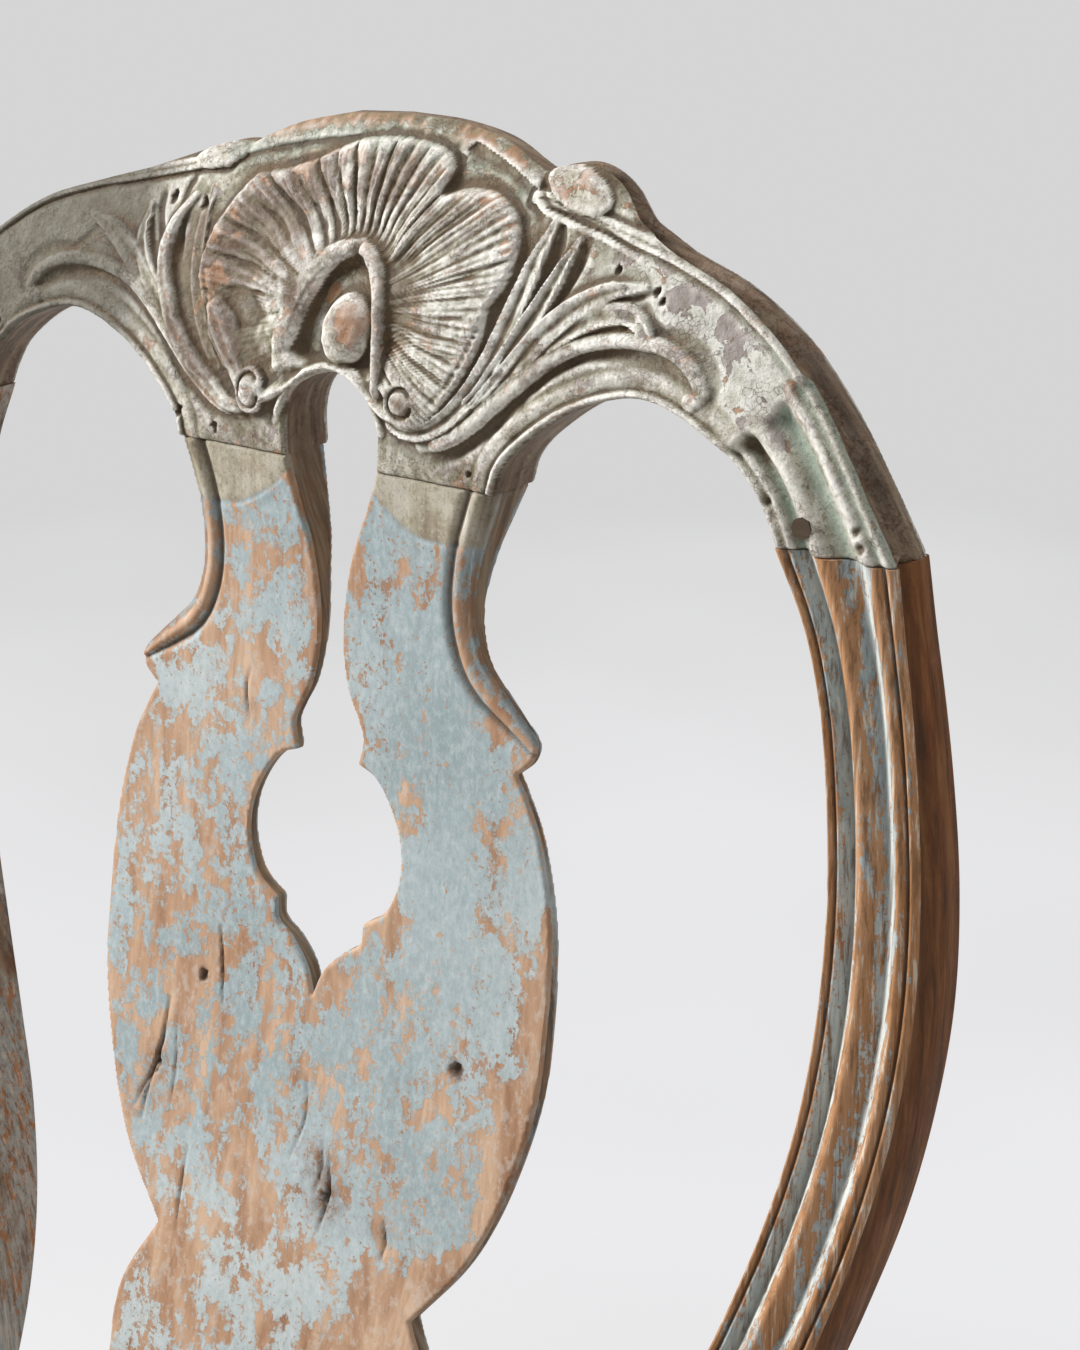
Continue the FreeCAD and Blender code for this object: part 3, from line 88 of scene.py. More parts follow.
def spline(points, per=8):
    """Points of a smooth curve through the given ones."""
    p = np.asarray(points, float)
    ends = np.vstack([2 * p[0] - p[1], p, 2 * p[-1] - p[-2]])
    t = np.linspace(0, 1, per, endpoint=False)[:, None]
    made = []
    for a, b, c, d in zip(ends, ends[1:], ends[2:], ends[3:]):
        made.append(b + 0.5 * t * (c - a + t * (2 * a - 5 * b + 4 * c - d + t * (3 * (b - c) + d - a))))
    return np.vstack(made + [p[-1:]])


def loop(*stretches):
    """A closed outline of smooth stretches with corners between them."""
    return np.vstack([spline(stretch) for stretch in stretches])


def mirror(points):
    """The same points on the other side of the middle, in reverse order."""
    return [(-x, h) for x, h in reversed(points)]


def noise(x, y, scale, seed):
    """Smooth random values from -1 to 1 that change over about one scale."""
    side = 64
    table = np.random.default_rng(seed).uniform(-1, 1, (side, side))
    u, v = np.asarray(x) / scale, np.asarray(y) / scale
    i, j = np.floor(u).astype(int), np.floor(v).astype(int)
    s, t = u - i, v - j
    s, t = s * s * (3 - 2 * s), t * t * (3 - 2 * t)
    low = table[i % side, j % side] * (1 - s) + table[(i + 1) % side, j % side] * s
    high = table[i % side, (j + 1) % side] * (1 - s) + table[(i + 1) % side, (j + 1) % side] * s
    return low * (1 - t) + high * t


def closed(points):
    """A ring of points with its first again at the end."""
    return np.vstack([points, points[:1]])


def nearest(line, x, h):
    """Distance to a line of points, its side (1 is left), the share of its length and the place on it."""
    line = np.asarray(line, float)
    runs = np.diff(line, axis=0)
    lengths = np.hypot(runs[:, 0], runs[:, 1])
    passed = np.concatenate([[0], np.cumsum(lengths)])
    best = np.full(x.shape, np.inf)
    side, share, foot_x, foot_h = np.zeros((4, *x.shape))
    for (a, b), (u, v), length, before in zip(line, runs, lengths, passed):
        if length == 0:
            continue
        t = np.clip(((x - a) * u + (h - b) * v) / length ** 2, 0, 1)
        dx, dh = x - a - t * u, h - b - t * v
        gap = np.hypot(dx, dh)
        at = gap < best
        best[at], side[at] = gap[at], np.sign(u * dh - v * dx)[at]
        share[at] = ((before + t * length) / passed[-1])[at]
        foot_x[at], foot_h[at] = (x - dx)[at], (h - dh)[at]
    return best, side, share, foot_x, foot_h


def inside(polygon, x, h):
    """Which points lie inside a closed polygon."""
    odd = np.zeros(x.shape, bool)
    for (a, b), (c, d) in zip(polygon, np.roll(polygon, -1, axis=0)):
        if b != d:
            odd ^= ((b > h) != (d > h)) & (x < a + (h - b) / (d - b) * (c - a))
    return odd


def climb(value, start, end):
    """From 0 at the start to 1 at the end, and level outside them."""
    return np.clip((value - start) / (end - start), 0, 1)


def swell(value, middle, width):
    """A smooth bump of height 1 about a middle."""
    return np.exp(-((value - middle) / width) ** 2)


def blur(field, reach):
    """A field smoothed over a number of cells each way."""
    for axis in (0, 1, 0, 1):
        padded = np.concatenate([np.repeat(field.take([0], axis), reach + 1, axis), field,
                                 np.repeat(field.take([-1], axis), reach, axis)], axis)
        total = np.cumsum(padded, axis)
        size = field.shape[axis]
        field = (total.take(range(2 * reach + 1, 2 * reach + 1 + size), axis)
                 - total.take(range(size), axis)) / (2 * reach + 1)
    return field


# The back's side view

def face(h):
    """How far the back's front lies behind the chair's middle. It leans straight low down, bows, and rolls
    back above the joint."""
    low = -22.4 + 0.27 * (h + 100)
    middle = 0.1775 * h - 0.000465 * h ** 2
    high = 16.9 + 0.00335 * np.clip(h - JOINT, 0, None) ** 2
    return BACK_SET + np.where(h < -100, low, np.where(h < JOINT, middle, high))


def face_at(h):
    """The same for one height."""
    return float(face(np.array(h)))


def below_top(x, h):
    """How far a place lies below the crest's top line between its ears."""
    return CREST_TOP - h - 0.0028 * x ** 2


def rounding(distance, radius):
    """How far an eased edge falls back at a distance from the edge."""
    gone = np.clip(radius - distance, 0, radius)
    return radius - np.sqrt(radius ** 2 - gone ** 2)


# Meshes

def linked(name, data):
    """A new object of the scene."""
    made = bpy.data.objects.new(name, data)
    bpy.context.scene.collection.objects.link(made)
    return made


def smooth_mesh(name, vertices, faces):
    """A mesh with every face shaded smooth."""
    mesh = bpy.data.meshes.new(name)
    mesh.from_pydata(vertices.tolist(), [], faces)
    mesh.polygons.foreach_set("use_smooth", np.ones(len(mesh.polygons), bool))
    return mesh


def add_object(name, vertices, faces, fields, body="chair"):
    """A piece that is smooth up to its sharp edges, with a value of each field at each vertex."""
    mesh = smooth_mesh(name, vertices, faces)
    for key, values in fields.items():
        mesh.attributes.new(key, "FLOAT", "POINT").data.foreach_set("value", np.asarray(values, np.float32))
    mesh.set_sharp_from_angle(angle=SHARP)
    piece = linked(name, mesh)
    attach(piece, body)
    return piece


def in_metres(x, y, h):
    """Places of the back, from millimetres about the keyhole's tip."""
    return np.stack([x * MM, y * MM, TIP_HEIGHT + h * MM], axis=-1)


# The even values of a board's back, and how far its sawn edge is hollowed from front to back
BACK_FIELDS = {"side": 0.36, "worn": 0.2}
WALL_SCOOP = smooth(((0, 0), (0.1, 0.75), (0.3, 1), (0.55, 0.35), (0.75, 0), (1, 0)))


class Plate:
    """A board sawn to an outline: a fine grid whose edge vertices lie on the outline."""

    def __init__(self, loops, cell, base, corners=()):
        self.loops, self.cell = loops, cell
        points = np.vstack(loops)
        low = np.array([points[:, 0].min() - 2 * cell, base])
        while low[1] > points[:, 1].min():
            low[1] -= cell
        counts = np.ceil((points.max(0) - low) / cell).astype(int) + 3
        self.xs = low[0] + cell * np.arange(counts[0])
        self.hs = low[1] + cell * np.arange(counts[1])
        self.x, self.h = np.meshgrid(self.xs, self.hs)
        self.snap(corners)
        self.pick_faces()

    def crossings(self, levels, axis):
        """Where the outline crosses each level of one axis, as places along the other."""
        found = [[] for level in levels]
        for outline in self.loops:
            for p, q in zip(outline, np.roll(outline, -1, axis=0)):
                first, last = np.searchsorted(levels, sorted((p[axis], q[axis])))
                for k in range(first, last):
                    t = (levels[k] - p[axis]) / (q[axis] - p[axis])
                    found[k].append(p[1 - axis] + t * (q[1 - axis] - p[1 - axis]))
        return [np.sort(places) for places in found]

    def mask(self, xs, hs):
        """Which nodes of a grid lie inside the outline."""
        rows = self.crossings(hs, 1)
        return np.array([np.searchsorted(row, xs) % 2 == 1 for row in rows])

    def snap(self, corners):
        """Moves the grid's nodes next to the outline onto it."""
        self.keep = self.mask(self.xs, self.hs)
        moved = np.full(self.x.shape, self.cell)
        grid_x, grid_h = self.x.copy(), self.h.copy()
        for axis, levels, others in ((1, self.hs, self.xs), (0, self.xs, self.hs)):
            for k, places in enumerate(self.crossings(levels, axis)):
                for place in places:
                    i = int(round((place - others[0]) / self.cell))
                    node = (k, i) if axis == 1 else (i, k)
                    shift = abs(place - others[i])
                    if shift < moved[node]:
                        moved[node] = shift
                        self.x[node], self.h[node] = grid_x[node], grid_h[node]
                        if axis == 1:
                            self.x[node] = place
                        else:
                            self.h[node] = place
                        self.keep[node] = True
        for x, h in corners:
            node = (int(round((h - self.hs[0]) / self.cell)), int(round((x - self.xs[0]) / self.cell)))
            self.x[node], self.h[node] = x, h
            self.keep[node] = True

    def pick_faces(self):
        """The cells inside the outline, as faces of four or three nodes."""
        half = self.cell / 2
        centre = self.mask(self.xs[:-1] + half, self.hs[:-1] + half)
        index = np.arange(self.x.size).reshape(self.x.shape)
        rings = np.stack([index[:-1, :-1], index[:-1, 1:], index[1:, 1:], index[1:, :-1]], -1)
        kept = self.keep.ravel()[rings]
        count = kept.sum(-1)
        quads = rings[(count == 4) & centre]
        cells, marks = rings[(count == 3) & centre], kept[(count == 3) & centre]
        corners = [ring[mark] for ring, mark in zip(cells, marks)]
        used = np.unique(np.concatenate([quads.ravel()] + corners))
        renumber = np.full(self.x.size, -1)
        renumber[used] = np.arange(len(used))
        self.used = used
        self.faces = renumber[quads].tolist() + [renumber[c].tolist() for c in corners]
        self.flat_x, self.flat_h = self.x.ravel()[used], self.h.ravel()[used]
        self.draw_rim_to_outline()
        gap = np.full(len(used), np.inf)
        for outline in self.loops:
            gap = np.minimum(gap, nearest(closed(outline), self.flat_x, self.flat_h)[0])
        self.gap = gap

    def draw_rim_to_outline(self):
        """Moves every vertex of the rim onto the outline, so that the edge is smooth."""
        rim = np.unique(np.array(self.rim()))
        x, h = self.flat_x[rim], self.flat_h[rim]
        best = np.full(len(rim), np.inf)
        for outline in self.loops:
            gap, _, _, foot_x, foot_h = nearest(closed(outline), x, h)
            near = (gap < best) & (gap < self.cell)
            best = np.where(near, gap, best)
            self.flat_x[rim[near]], self.flat_h[rim[near]] = foot_x[near], foot_h[near]

    def rim(self):
        """The outline's edges, each as the two vertices that its face runs through in turn."""
        pairs = {(a, b) for f in self.faces for a, b in zip(f, f[1:] + f[:1])}
        return sorted((a, b) for a, b in pairs if (b, a) not in pairs)

    def outward(self, rim, ring_of):
        """The outline's direction outwards at each vertex of the rim."""
        way = np.zeros((len(ring_of), 2))
        for a, b in rim:
            run = (self.flat_h[b] - self.flat_h[a], self.flat_x[a] - self.flat_x[b])
            way[ring_of[a]] += run
            way[ring_of[b]] += run
        return way / np.clip(np.hypot(way[:, 0], way[:, 1]), 1e-6, None)[:, None]

    def build(self, name, front, back, rings, fields, wall_fields, scoop=None):
        """The board as a closed mesh: its face, its back and rings of walls, which a scoop hollows."""
        count = len(self.used)
        x, h = self.flat_x, self.flat_h
        rim = self.rim()
        edge = np.unique(np.array(rim))
        ring_of = {v: i for i, v in enumerate(edge.tolist())}
        way = self.outward(rim, ring_of) * (0 if scoop is None else scoop[edge][:, None])
        levels = [np.arange(count)[edge]]
        rows = [in_metres(x, front, h), in_metres(x, back, h)]
        columns = {key: [values, np.full(count, BACK_FIELDS.get(key, 0.0))] for key, values in fields.items()}
        for k in range(1, rings):
            share = k / rings
            y = front[edge] * (1 - share) + back[edge] * share
            dent = WALL_SCOOP(share)
            rows.append(in_metres(x[edge] - way[:, 0] * dent, y, h[edge] - way[:, 1] * dent))
            levels.append(2 * count + (k - 1) * len(edge) + np.arange(len(edge)))
        levels.append(count + edge)
        faces = self.faces + [[count + v for v in reversed(f)] for f in self.faces]
        for a, b in rim:
            for near, far in zip(levels, levels[1:]):
                i, j = ring_of[a], ring_of[b]
                faces.append([int(near[j]), int(near[i]), int(far[i]), int(far[j])])
        for key, values in columns.items():
            wall = np.broadcast_to(wall_fields.get(key, 0.0), count)[edge]
            columns[key] = np.concatenate(values + [np.tile(wall, rings - 1)])
        return add_object(name, np.vstack(rows), faces, columns)


def ring_faces(levels, count):
    """The vertex numbers of rings laid one on another, and the faces between them."""
    index = np.arange(levels * count).reshape(levels, count)
    turned = np.roll(index, -1, axis=1)
    return index, np.stack([index[:-1], turned[:-1], turned[1:], index[1:]], -1).reshape(-1, 4).tolist()


def tube(name, sections, fields, body="chair", flip=False):
    """A bar lofted through rings of points, closed at both ends."""
    index, quads = ring_faces(*sections.shape[:2])
    faces = quads + [index[0][::-1].tolist(), index[-1].tolist()]
    if flip:
        faces = [face[::-1] for face in faces]
    return add_object(name, sections.reshape(-1, 3), faces, fields, body)


# Relief carving

SHAPES = {
    "round": lambda q: np.sqrt(np.clip(1 - q * q, 0, 1)),
    "hollow": lambda q: np.where(q < 0.78, 0.6 + 0.4 * (q / 0.78) ** 2, np.clip((1 - q) / 0.22, 0, 1)),
    "cut": lambda q: np.clip(1 - q * q, 0, 1) ** 1.5,
}


class Relief:
    """Heights that stand proud of the face, on a grid of places."""

    def __init__(self, x, h):
        self.x, self.h = x, h
        self.rise = np.zeros(x.shape)

    def near(self, line, reach):
        """The nodes about a line."""
        low, high = line.min(0) - reach, line.max(0) + reach
        return np.nonzero((self.x > low[0]) & (self.x < high[0]) & (self.h > low[1]) & (self.h < high[1]))

    def stroke(self, points, widths, height, shape="round", lean=0.0, ribs=0, base=0.0):
        """Raises a tapered band along a line. It leans up towards its left, and may have fine ribs."""
        line = spline(points, 6)
        at = self.near(line, max(widths))
        gap, side, share, *_ = nearest(line, self.x[at], self.h[at])
        width = np.interp(share, np.linspace(0, 1, len(widths)), widths)
        q = np.clip(gap / width, 0, 1)
        body = SHAPES[shape](q) * (1 + lean * side * q)
        if ribs:
            body = body - 0.13 * (0.5 + 0.5 * np.cos(np.pi * ribs * q * side)) * (q < 0.95)
        taper = np.clip(share / 0.06, 0.35, 1) * np.clip((1 - share) / 0.1, 0.5, 1)
        rise = base + height * body * taper
        self.rise[at] = np.where(q < 1, np.maximum(self.rise[at], rise), self.rise[at])

    def groove(self, points, width, depth, fade=0.1):
        """Cuts a groove that fades out at its ends."""
        line = spline(points, 6)
        at = self.near(line, width)
        gap, _, share, *_ = nearest(line, self.x[at], self.h[at])
        ends = np.clip(np.minimum(share, 1 - share) / fade, 0, 1)
        self.rise[at] -= depth * SHAPES["cut"](np.clip(gap / width, 0, 1)) * (0.3 + 0.7 * ends)

    def knob(self, x, h, across, up, height, base=0.0, turn=0.0):
        """Raises an oval boss."""
        c, s = math.cos(turn), math.sin(turn)
        dx, dh = self.x - x, self.h - h
        q = np.hypot((dx * c + dh * s) / across, (dh * c - dx * s) / up)
        rise = base + height * np.sqrt(np.clip(1 - q * q, 0, 1))
        self.rise = np.where(q < 1, np.maximum(self.rise, rise), self.rise)


# Outlines of the crest and the splat

RIGHT_TOP = [(0, 304), (23.5, 303.2), (44.6, 299.7), (61, 293.3)]
RIGHT_EAR = [(65.7, 291.5), (72.7, 294), (83.2, 294.8), (96, 290), (107.9, 279.6)]
RIGHT_SHOULDER = [
    (124.3, 272.1), (145.4, 265), (160.6, 256.9), (172.4, 248.6), (184.1, 237.3), (195.3, 223.6),
    (206, 207.8), (216.4, JOINT),
]
LEFT_TOP = [(-53, 293.5), (-41, 298.5), (-22, 302.8), (0, 304)]
LEFT_EAR = [(-101, 279), (-87, 284), (-77, 287.5), (-67, 290.5), (-58, 290.8)]
LEFT_SHOULDER = [
    (-216.4, JOINT), (-206, 207.8), (-195.3, 223.6), (-184.1, 237.3), (-172.4, 248.6), (-160.6, 257.5),
    (-145.4, 266), (-124.3, 272.6), (-101, 279),
]
ARCH = [
    (69, JOINT), (72.2, 200.6), (81.2, 210.6), (99.2, 223), (122, 229.5), (144.8, 223.3), (163.3, 210.2),
    (171.3, 199.1), (175, JOINT),
]
KEYHOLE_ARCH = [
    (-20, JOINT), (-20.4, 204), (-17, 213.9), (-9, 219.8), (0, 222), (9, 219.8), (17, 213.9), (20.4, 204),
    (20, JOINT),
]
SPLAT_BODY = [
    (60, -101.2), (76.7, -80.1), (86.4, -61.5), (93.6, -40.2), (98.7, -17.9), (100.3, 3.4), (99.1, 44.9),
    (92.7, 74.5), (85.4, 90.2), (81, 97.4),
]
SPLAT_STRIP = [
    (81, 97.4), (87, 103), (88, 109.3), (82, 115.8), (74, 123.2), (65.5, 131.8), (61.2, 142.3), (60, 154),
    (61.7, 168.1), (65, 179.5), (69, JOINT),
]
SPLAT_BASE = [(78, -234), (75.7, -193.3), (74.5, -162.8), (74.1, -128.9), (60, -101.2)]
KEYHOLE = (
    [(20, JOINT), (15.4, 177.6), (8.6, 158.9), (5.6, 140.7), (5.4, 126.4), (8, 112.5), (12.8, 102.8),
     (15.3, 96.1), (13.5, 86.8)],
    [(13.5, 86.8), (21.7, 83.2), (28.9, 74), (33.7, 62.6), (34.3, 50.2), (29.6, 37.5), (19.9, 30.5)],
    [(19.9, 30.5), (18.9, 22.9), (11.3, 17.4), (3.8, 9.3), (0, 0)],
)


def crest_outline():
    """The crest's front outline, with its two unequal ears."""
    return loop(
        LEFT_SHOULDER, LEFT_EAR, LEFT_TOP[:-1], RIGHT_TOP, RIGHT_EAR, RIGHT_SHOULDER, ARCH[::-1],
        KEYHOLE_ARCH[::-1], mirror(ARCH)[::-1],
    )


def splat_outline():
    """The splat's front outline, with the keyhole cut in from the top."""
    right = [SPLAT_BASE, SPLAT_BODY, SPLAT_STRIP] + list(KEYHOLE)
    left = [mirror(stretch) for stretch in reversed(right)]
    return loop(*right, *left)


# The moulding on the stiles: share of the width from the inner edge, and depth as a share of its depth

MOULDING = smooth((
    (0, 0.42), (0.03, 0.18), (0.065, 0.26), (0.095, 0.52), (0.12, 0.38), (0.145, 0.38), (0.17, 0.6),
    (0.235, 0.95), (0.3, 0.62), (0.36, 0.17), (0.42, 0), (0.48, 0.1), (0.55, 0.46), (0.64, 0.74),
    (0.72, 0.5), (0.78, 0.2), (0.83, 0.1), (0.87, 0.24), (0.9, 0.52), (0.93, 0.34), (0.96, 0.34), (1, 0.6),
))
MOULDING_DEPTH = 7.0
# The hollow along the post's outer side, from its front, and how worn the moulding is
POST_SCOOP = smooth(((0, 0), (0.05, 0.9), (0.14, 2.6), (0.24, 2.7), (0.36, 0.9), (0.45, 0.1), (1, 0)))
MOULDING_WEAR = smooth((
    (0, 0.9), (0.06, 0.9), (0.1, 0.5), (0.16, -0.1), (0.25, -0.6), (0.33, 0.1), (0.38, 0.7), (0.46, 0.8),
    (0.52, 0.65), (0.6, 0.35), (0.68, -0.3), (0.76, 0.1), (0.82, 0.9), (0.9, 0.8), (0.95, 0.8), (1, 0.9),
))

# The shell: its outline, and the creases between its ribs as (angle in degrees at the hub and at the
# rim, depth). It fans out from the hub.

HUB = (3, 243)
SHELL = [
    (39, 208), (46, 213), (53, 221), (58, 230), (61.5, 239), (62, 248), (63, 252), (66, 257), (67.5, 264),
    (67, 271), (64, 277), (59, 281.5), (53, 284.5), (46, 285.5), (39, 285), (33, 283), (31, 284),
    (32, 288), (31, 292), (27, 295.5), (20, 297.5), (10, 298.2), (0, 298), (-10, 296.5), (-18, 293),
    (-24, 290), (-30, 287.5), (-37, 285), (-44, 283.5), (-50, 282), (-54, 278), (-59, 271), (-63, 262),
    (-65, 253), (-64, 245), (-60, 236), (-54, 228), (-48, 220), (-42, 213), (-38, 207), (-24, 210),
    (-12, 219), (0, 223), (12, 219), (24, 210),
]
CREASES = (
    (-62, -48, 1.5), (-46, -37, 2.0), (-34, -28, 1.6), (-24, -19, 1.3), (-14, -10.5, 1.9), (-6, -3, 1.4),
    (2, 5, 1.8), (9, 12, 1.2), (16, 19, 2.2), (24, 25.5, 1.4), (31, 32, 1.8), (39, 39, 2.2), (48, 46, 1.6),
    (57, 54, 3.6), (64, 60, 2.0), (70, 66, 1.6), (77, 73, 2.6), (83, 80, 1.6), (89, 88, 2.2), (94, 96, 1.8),
    (100, 105, 3.4), (107, 113, 2.0), (115, 122, 3.4), (124, 131, 1.8), (134, 141, 2.8), (145, 150, 1.5),
    (155, 160, 2.4), (165, 170, 1.6), (174, 181, 2.2), (184, 193, 2.6), (196, 206, 1.8), (208, 218, 2.4),
    (222, 234, 2.0),
)
# The hollow ground between the shell and the crest's top moulding
GROUND = [
    (33, 296), (35, 290), (46, 289), (57, 285.5), (65, 279.5), (69.5, 270), (71, 262), (74, 270), (72, 281),
    (64, 287), (55, 291.5), (44, 295.5), (36, 298),
]
# The canopy's two bands, from its top down, and the hollow under it
HOOD_LEFT = [(4, 264), (-4, 261.5), (-11, 256.5), (-16, 249.5), (-19.5, 241), (-21.5, 232), (-22.5, 223)]
HOOD_RIGHT = [
    (2, 264), (8, 262), (13, 257), (16, 250.5), (18, 243), (19.3, 236), (20.3, 229), (21.3, 222), (21, 214),
]
HOLLOW = [
    (2, 262), (-5, 259), (-11, 254), (-15.5, 247), (-18.5, 238), (-20, 228), (-12, 222.5), (0, 224),
    (11, 222), (19, 224), (18, 236), (16, 247), (12, 255), (7, 260),
]

# Leaves and the long bead of each side, as on the right: points, half widths, height, shape, lean, ribs
LONG_BEAD = (
    [(40, 203.5), (50, 206.5), (60, 213.5), (70, 222.5), (79, 230.5), (88, 237.6), (98, 243), (109, 245.8),
     (119, 246.8), (129, 246), (137, 243.3), (142.5, 239), (144.5, 234), (141.5, 231)],
    (2.5, 3.2, 3.2, 2.8, 2.6, 2.6, 3.0), 3.0, "round", 0, 0,
)
RIGHT_LEAVES = (
    ([(24, 213), (29, 208.5), (37, 207.5), (45, 210), (53, 216), (60, 224), (66, 235), (70, 247), (73.5, 261),
      (77, 279)], (2.5, 3.2, 4.2, 4.8, 4.6, 3.8, 1.4), 4.6, "hollow", 0.16, 3),
    ([(56, 217), (64, 225), (71, 235), (77.5, 247), (83, 259), (88, 273.5)], (2, 3.6, 4.4, 4.2, 3.2, 1.2),
     4.2, "hollow", 0.25, 2),
    ([(58, 216), (67, 225), (75, 234), (84, 245), (94, 254), (105, 260), (117, 262.5)],
     (2, 3.6, 4.8, 5.2, 4.6, 3.4, 1.2), 3.8, "hollow", 0.25, 3),
    ([(84, 239), (93, 247), (103, 252.5), (113, 254), (121, 250), (126, 245)], (1.5, 3.6, 4.4, 4, 3, 1),
     2.9, "hollow", -0.15, 2),
    LONG_BEAD,
)
LEFT_LEAVES = (
    ([(34, 207), (44, 206), (53, 212), (63, 219.5), (72, 229), (77.5, 239), (81.5, 249.5), (82.5, 258),
      (80, 266), (76, 272)], (2.5, 3.4, 4, 4.2, 3.8, 3, 1.6), 4.8, "round", 0, 2),
    ([(52, 218), (58, 227), (63, 238), (67, 250), (69, 262), (69, 276)], (2, 3, 3.4, 3.2, 2.6, 1.4),
     1.6, "hollow", 0.2, 1),
    ([(62, 221), (72, 229), (82, 239), (90, 248), (94.5, 257), (95, 268)], (2, 3.6, 4.4, 4.2, 3.2, 1.2),
     3.8, "hollow", 0.25, 2),
    ([(66, 222), (76, 231), (87, 241), (98, 250.5), (109, 257.5), (122, 262)],
     (2, 3.6, 4.6, 5, 4.2, 1.2), 3.4, "hollow", 0.25, 3),
    LONG_BEAD,
)
# Grooves between them: points, half width, depth
VALLEYS = (
    ([(46, 199.5), (56, 204), (66, 212), (74, 220.5), (82, 228.5), (90, 235), (99, 239.6), (110, 241.4),
      (121, 241.2), (131, 239.4), (138, 235)], 3.2, 1.7),
    ([(44, 218), (50, 224), (55, 232), (59, 241), (61, 250)], 1.3, 0.8),
    ([(79, 279), (81, 271), (79, 262), (76, 251)], 2.0, 1.3),
    ([(91, 273), (90, 265), (86, 256), (80, 245)], 2.2, 1.5),
    ([(120, 261), (114, 258.5), (104, 256), (94, 249), (86, 241)], 1.3, 1.5),
    ([(117, 258), (124, 252), (130, 247.5)], 2.2, 0.9),
    ([(126, 251), (138, 249), (146, 244), (149.5, 237), (148, 230)], 2.6, 0.8),
)
# The volutes at the foot of the shell: x, h, half width, half height
SCROLLS = ((32.5, 217, 7.2, 6.6), (-33.5, 212.5, 6.2, 8.2))
# The line at which the stile's moulding starts on the crest
STILE_RIDGE_START = [(178, 243), (173.5, 236), (170, 230), (164, 226), (158, 219.5), (151, 219)]
# Mouldings along the arch and along the shoulder: distances from the edge, and heights
ARCH_RIM = (0, 1.0, 2.2, 3.0, 4.2, 7.0, 8.6, 9.6, 11), (0, 1.2, 1.2, -0.7, 0.2, 0.7, 0.2, -0.4, 0)
TOP_BEAD = (0, 0.6, 1.9, 2.6, 3.3, 4.6), (0, 0.9, 0.9, -1.1, -0.7, 0)


def shell_reach():
    """The shell's outline, and the direction and distance of its points from the hub."""
    ring = spline(closed(SHELL), 4)
    angles = np.degrees(np.arctan2(ring[:, 1] - HUB[1], ring[:, 0] - HUB[0]))
    radii = np.hypot(ring[:, 0] - HUB[0], ring[:, 1] - HUB[1])
    order = np.argsort(angles)
    return angles[order], radii[order], ring


def shell_ribs(s, turn):
    """Depths below the shell's form of the rounded ribs between its creases."""
    ribs = np.zeros(s.shape)
    wander = 1.6 * noise(s * 3, turn / 40, 1.0, 9)
    for (a0, a1, deep), (b0, b1, next_deep) in zip(CREASES, CREASES[1:]):
        low, high = a0 + (a1 - a0) * s + wander, b0 + (b1 - b0) * s + wander
        t = climb(turn, low, high)
        depth = deep * (1 - t) + next_deep * t
        ribs = np.where((turn >= low) & (turn < high), depth * ((4 * t * (1 - t)) ** 0.5 - 1), ribs)
    return ribs


def fine_cuts(s, turn):
    """The fine cuts along the shell's ribs, and the unevenness of handwork."""
    size = 0.3 + 0.3 * climb(turn, 60, 45)
    phase = turn * 360 / 2.5 + 240 * noise(turn / 8, s * 2, 1.0, 11) + 60 * s
    cuts = size * (0.7 + 0.3 * noise(turn, s * 6, 3.0, 14)) * np.cos(np.radians(phase))
    return cuts + 0.5 * noise(turn * 0.9 + 2.5 * s, s * 2.2, 1.5, 12) + 0.7 * noise(turn, s * 12, 7.0, 13)


def carve_shell(relief):
    """The fan: a dished form whose rounded ribs run from the hood to a lobed, undercut edge."""
    angles, radii, ring = shell_reach()
    x, h = relief.x, relief.h
    within = inside(ring, x, h)
    dx, dh = x[within] - HUB[0], h[within] - HUB[1]
    turn = np.degrees(np.arctan2(dh, dx))
    turn = np.where(turn < CREASES[0][1], turn + 360, turn)
    reach = np.interp(turn, angles, radii, period=360)
    s = np.clip(np.hypot(dx, dh) / reach, 0, 1)
    edge_gap = nearest(closed(ring), x[within], h[within])[0]
    valley = np.interp(turn, (60, 110, 150, 220), (0.38, 0.5, 0.7, 0.7))
    rise = 5.2 - 4.0 * swell(s, valley, 0.17) - 1.6 * climb(s, 0.9, 1) ** 2
    strength = climb(s, 0.16, 0.56) ** 0.8 * np.interp(turn, (178, 196), (1, 0.3))
    boldness = np.interp(turn, (20, 60, 85, 135, 180), (0.55, 0.85, 1.25, 1.25, 0.9))
    rise += shell_ribs(s, turn) * boldness * strength * np.clip(edge_gap / 2.5, 0.45, 1)
    rise -= 3.4 * swell(turn, 187, 6) * climb(s, 0.5, 0.7)
    rise += fine_cuts(s, turn) * strength
    rise *= climb(edge_gap, 0, 1.8) ** 0.45
    relief.rise[within] = np.maximum(rise, relief.rise[within])
    relief.stroke([(-35, 213), (-41, 220), (-49, 230), (-57, 242)], (3.2, 6.0, 7.0, 2.8), 5.0, ribs=3)


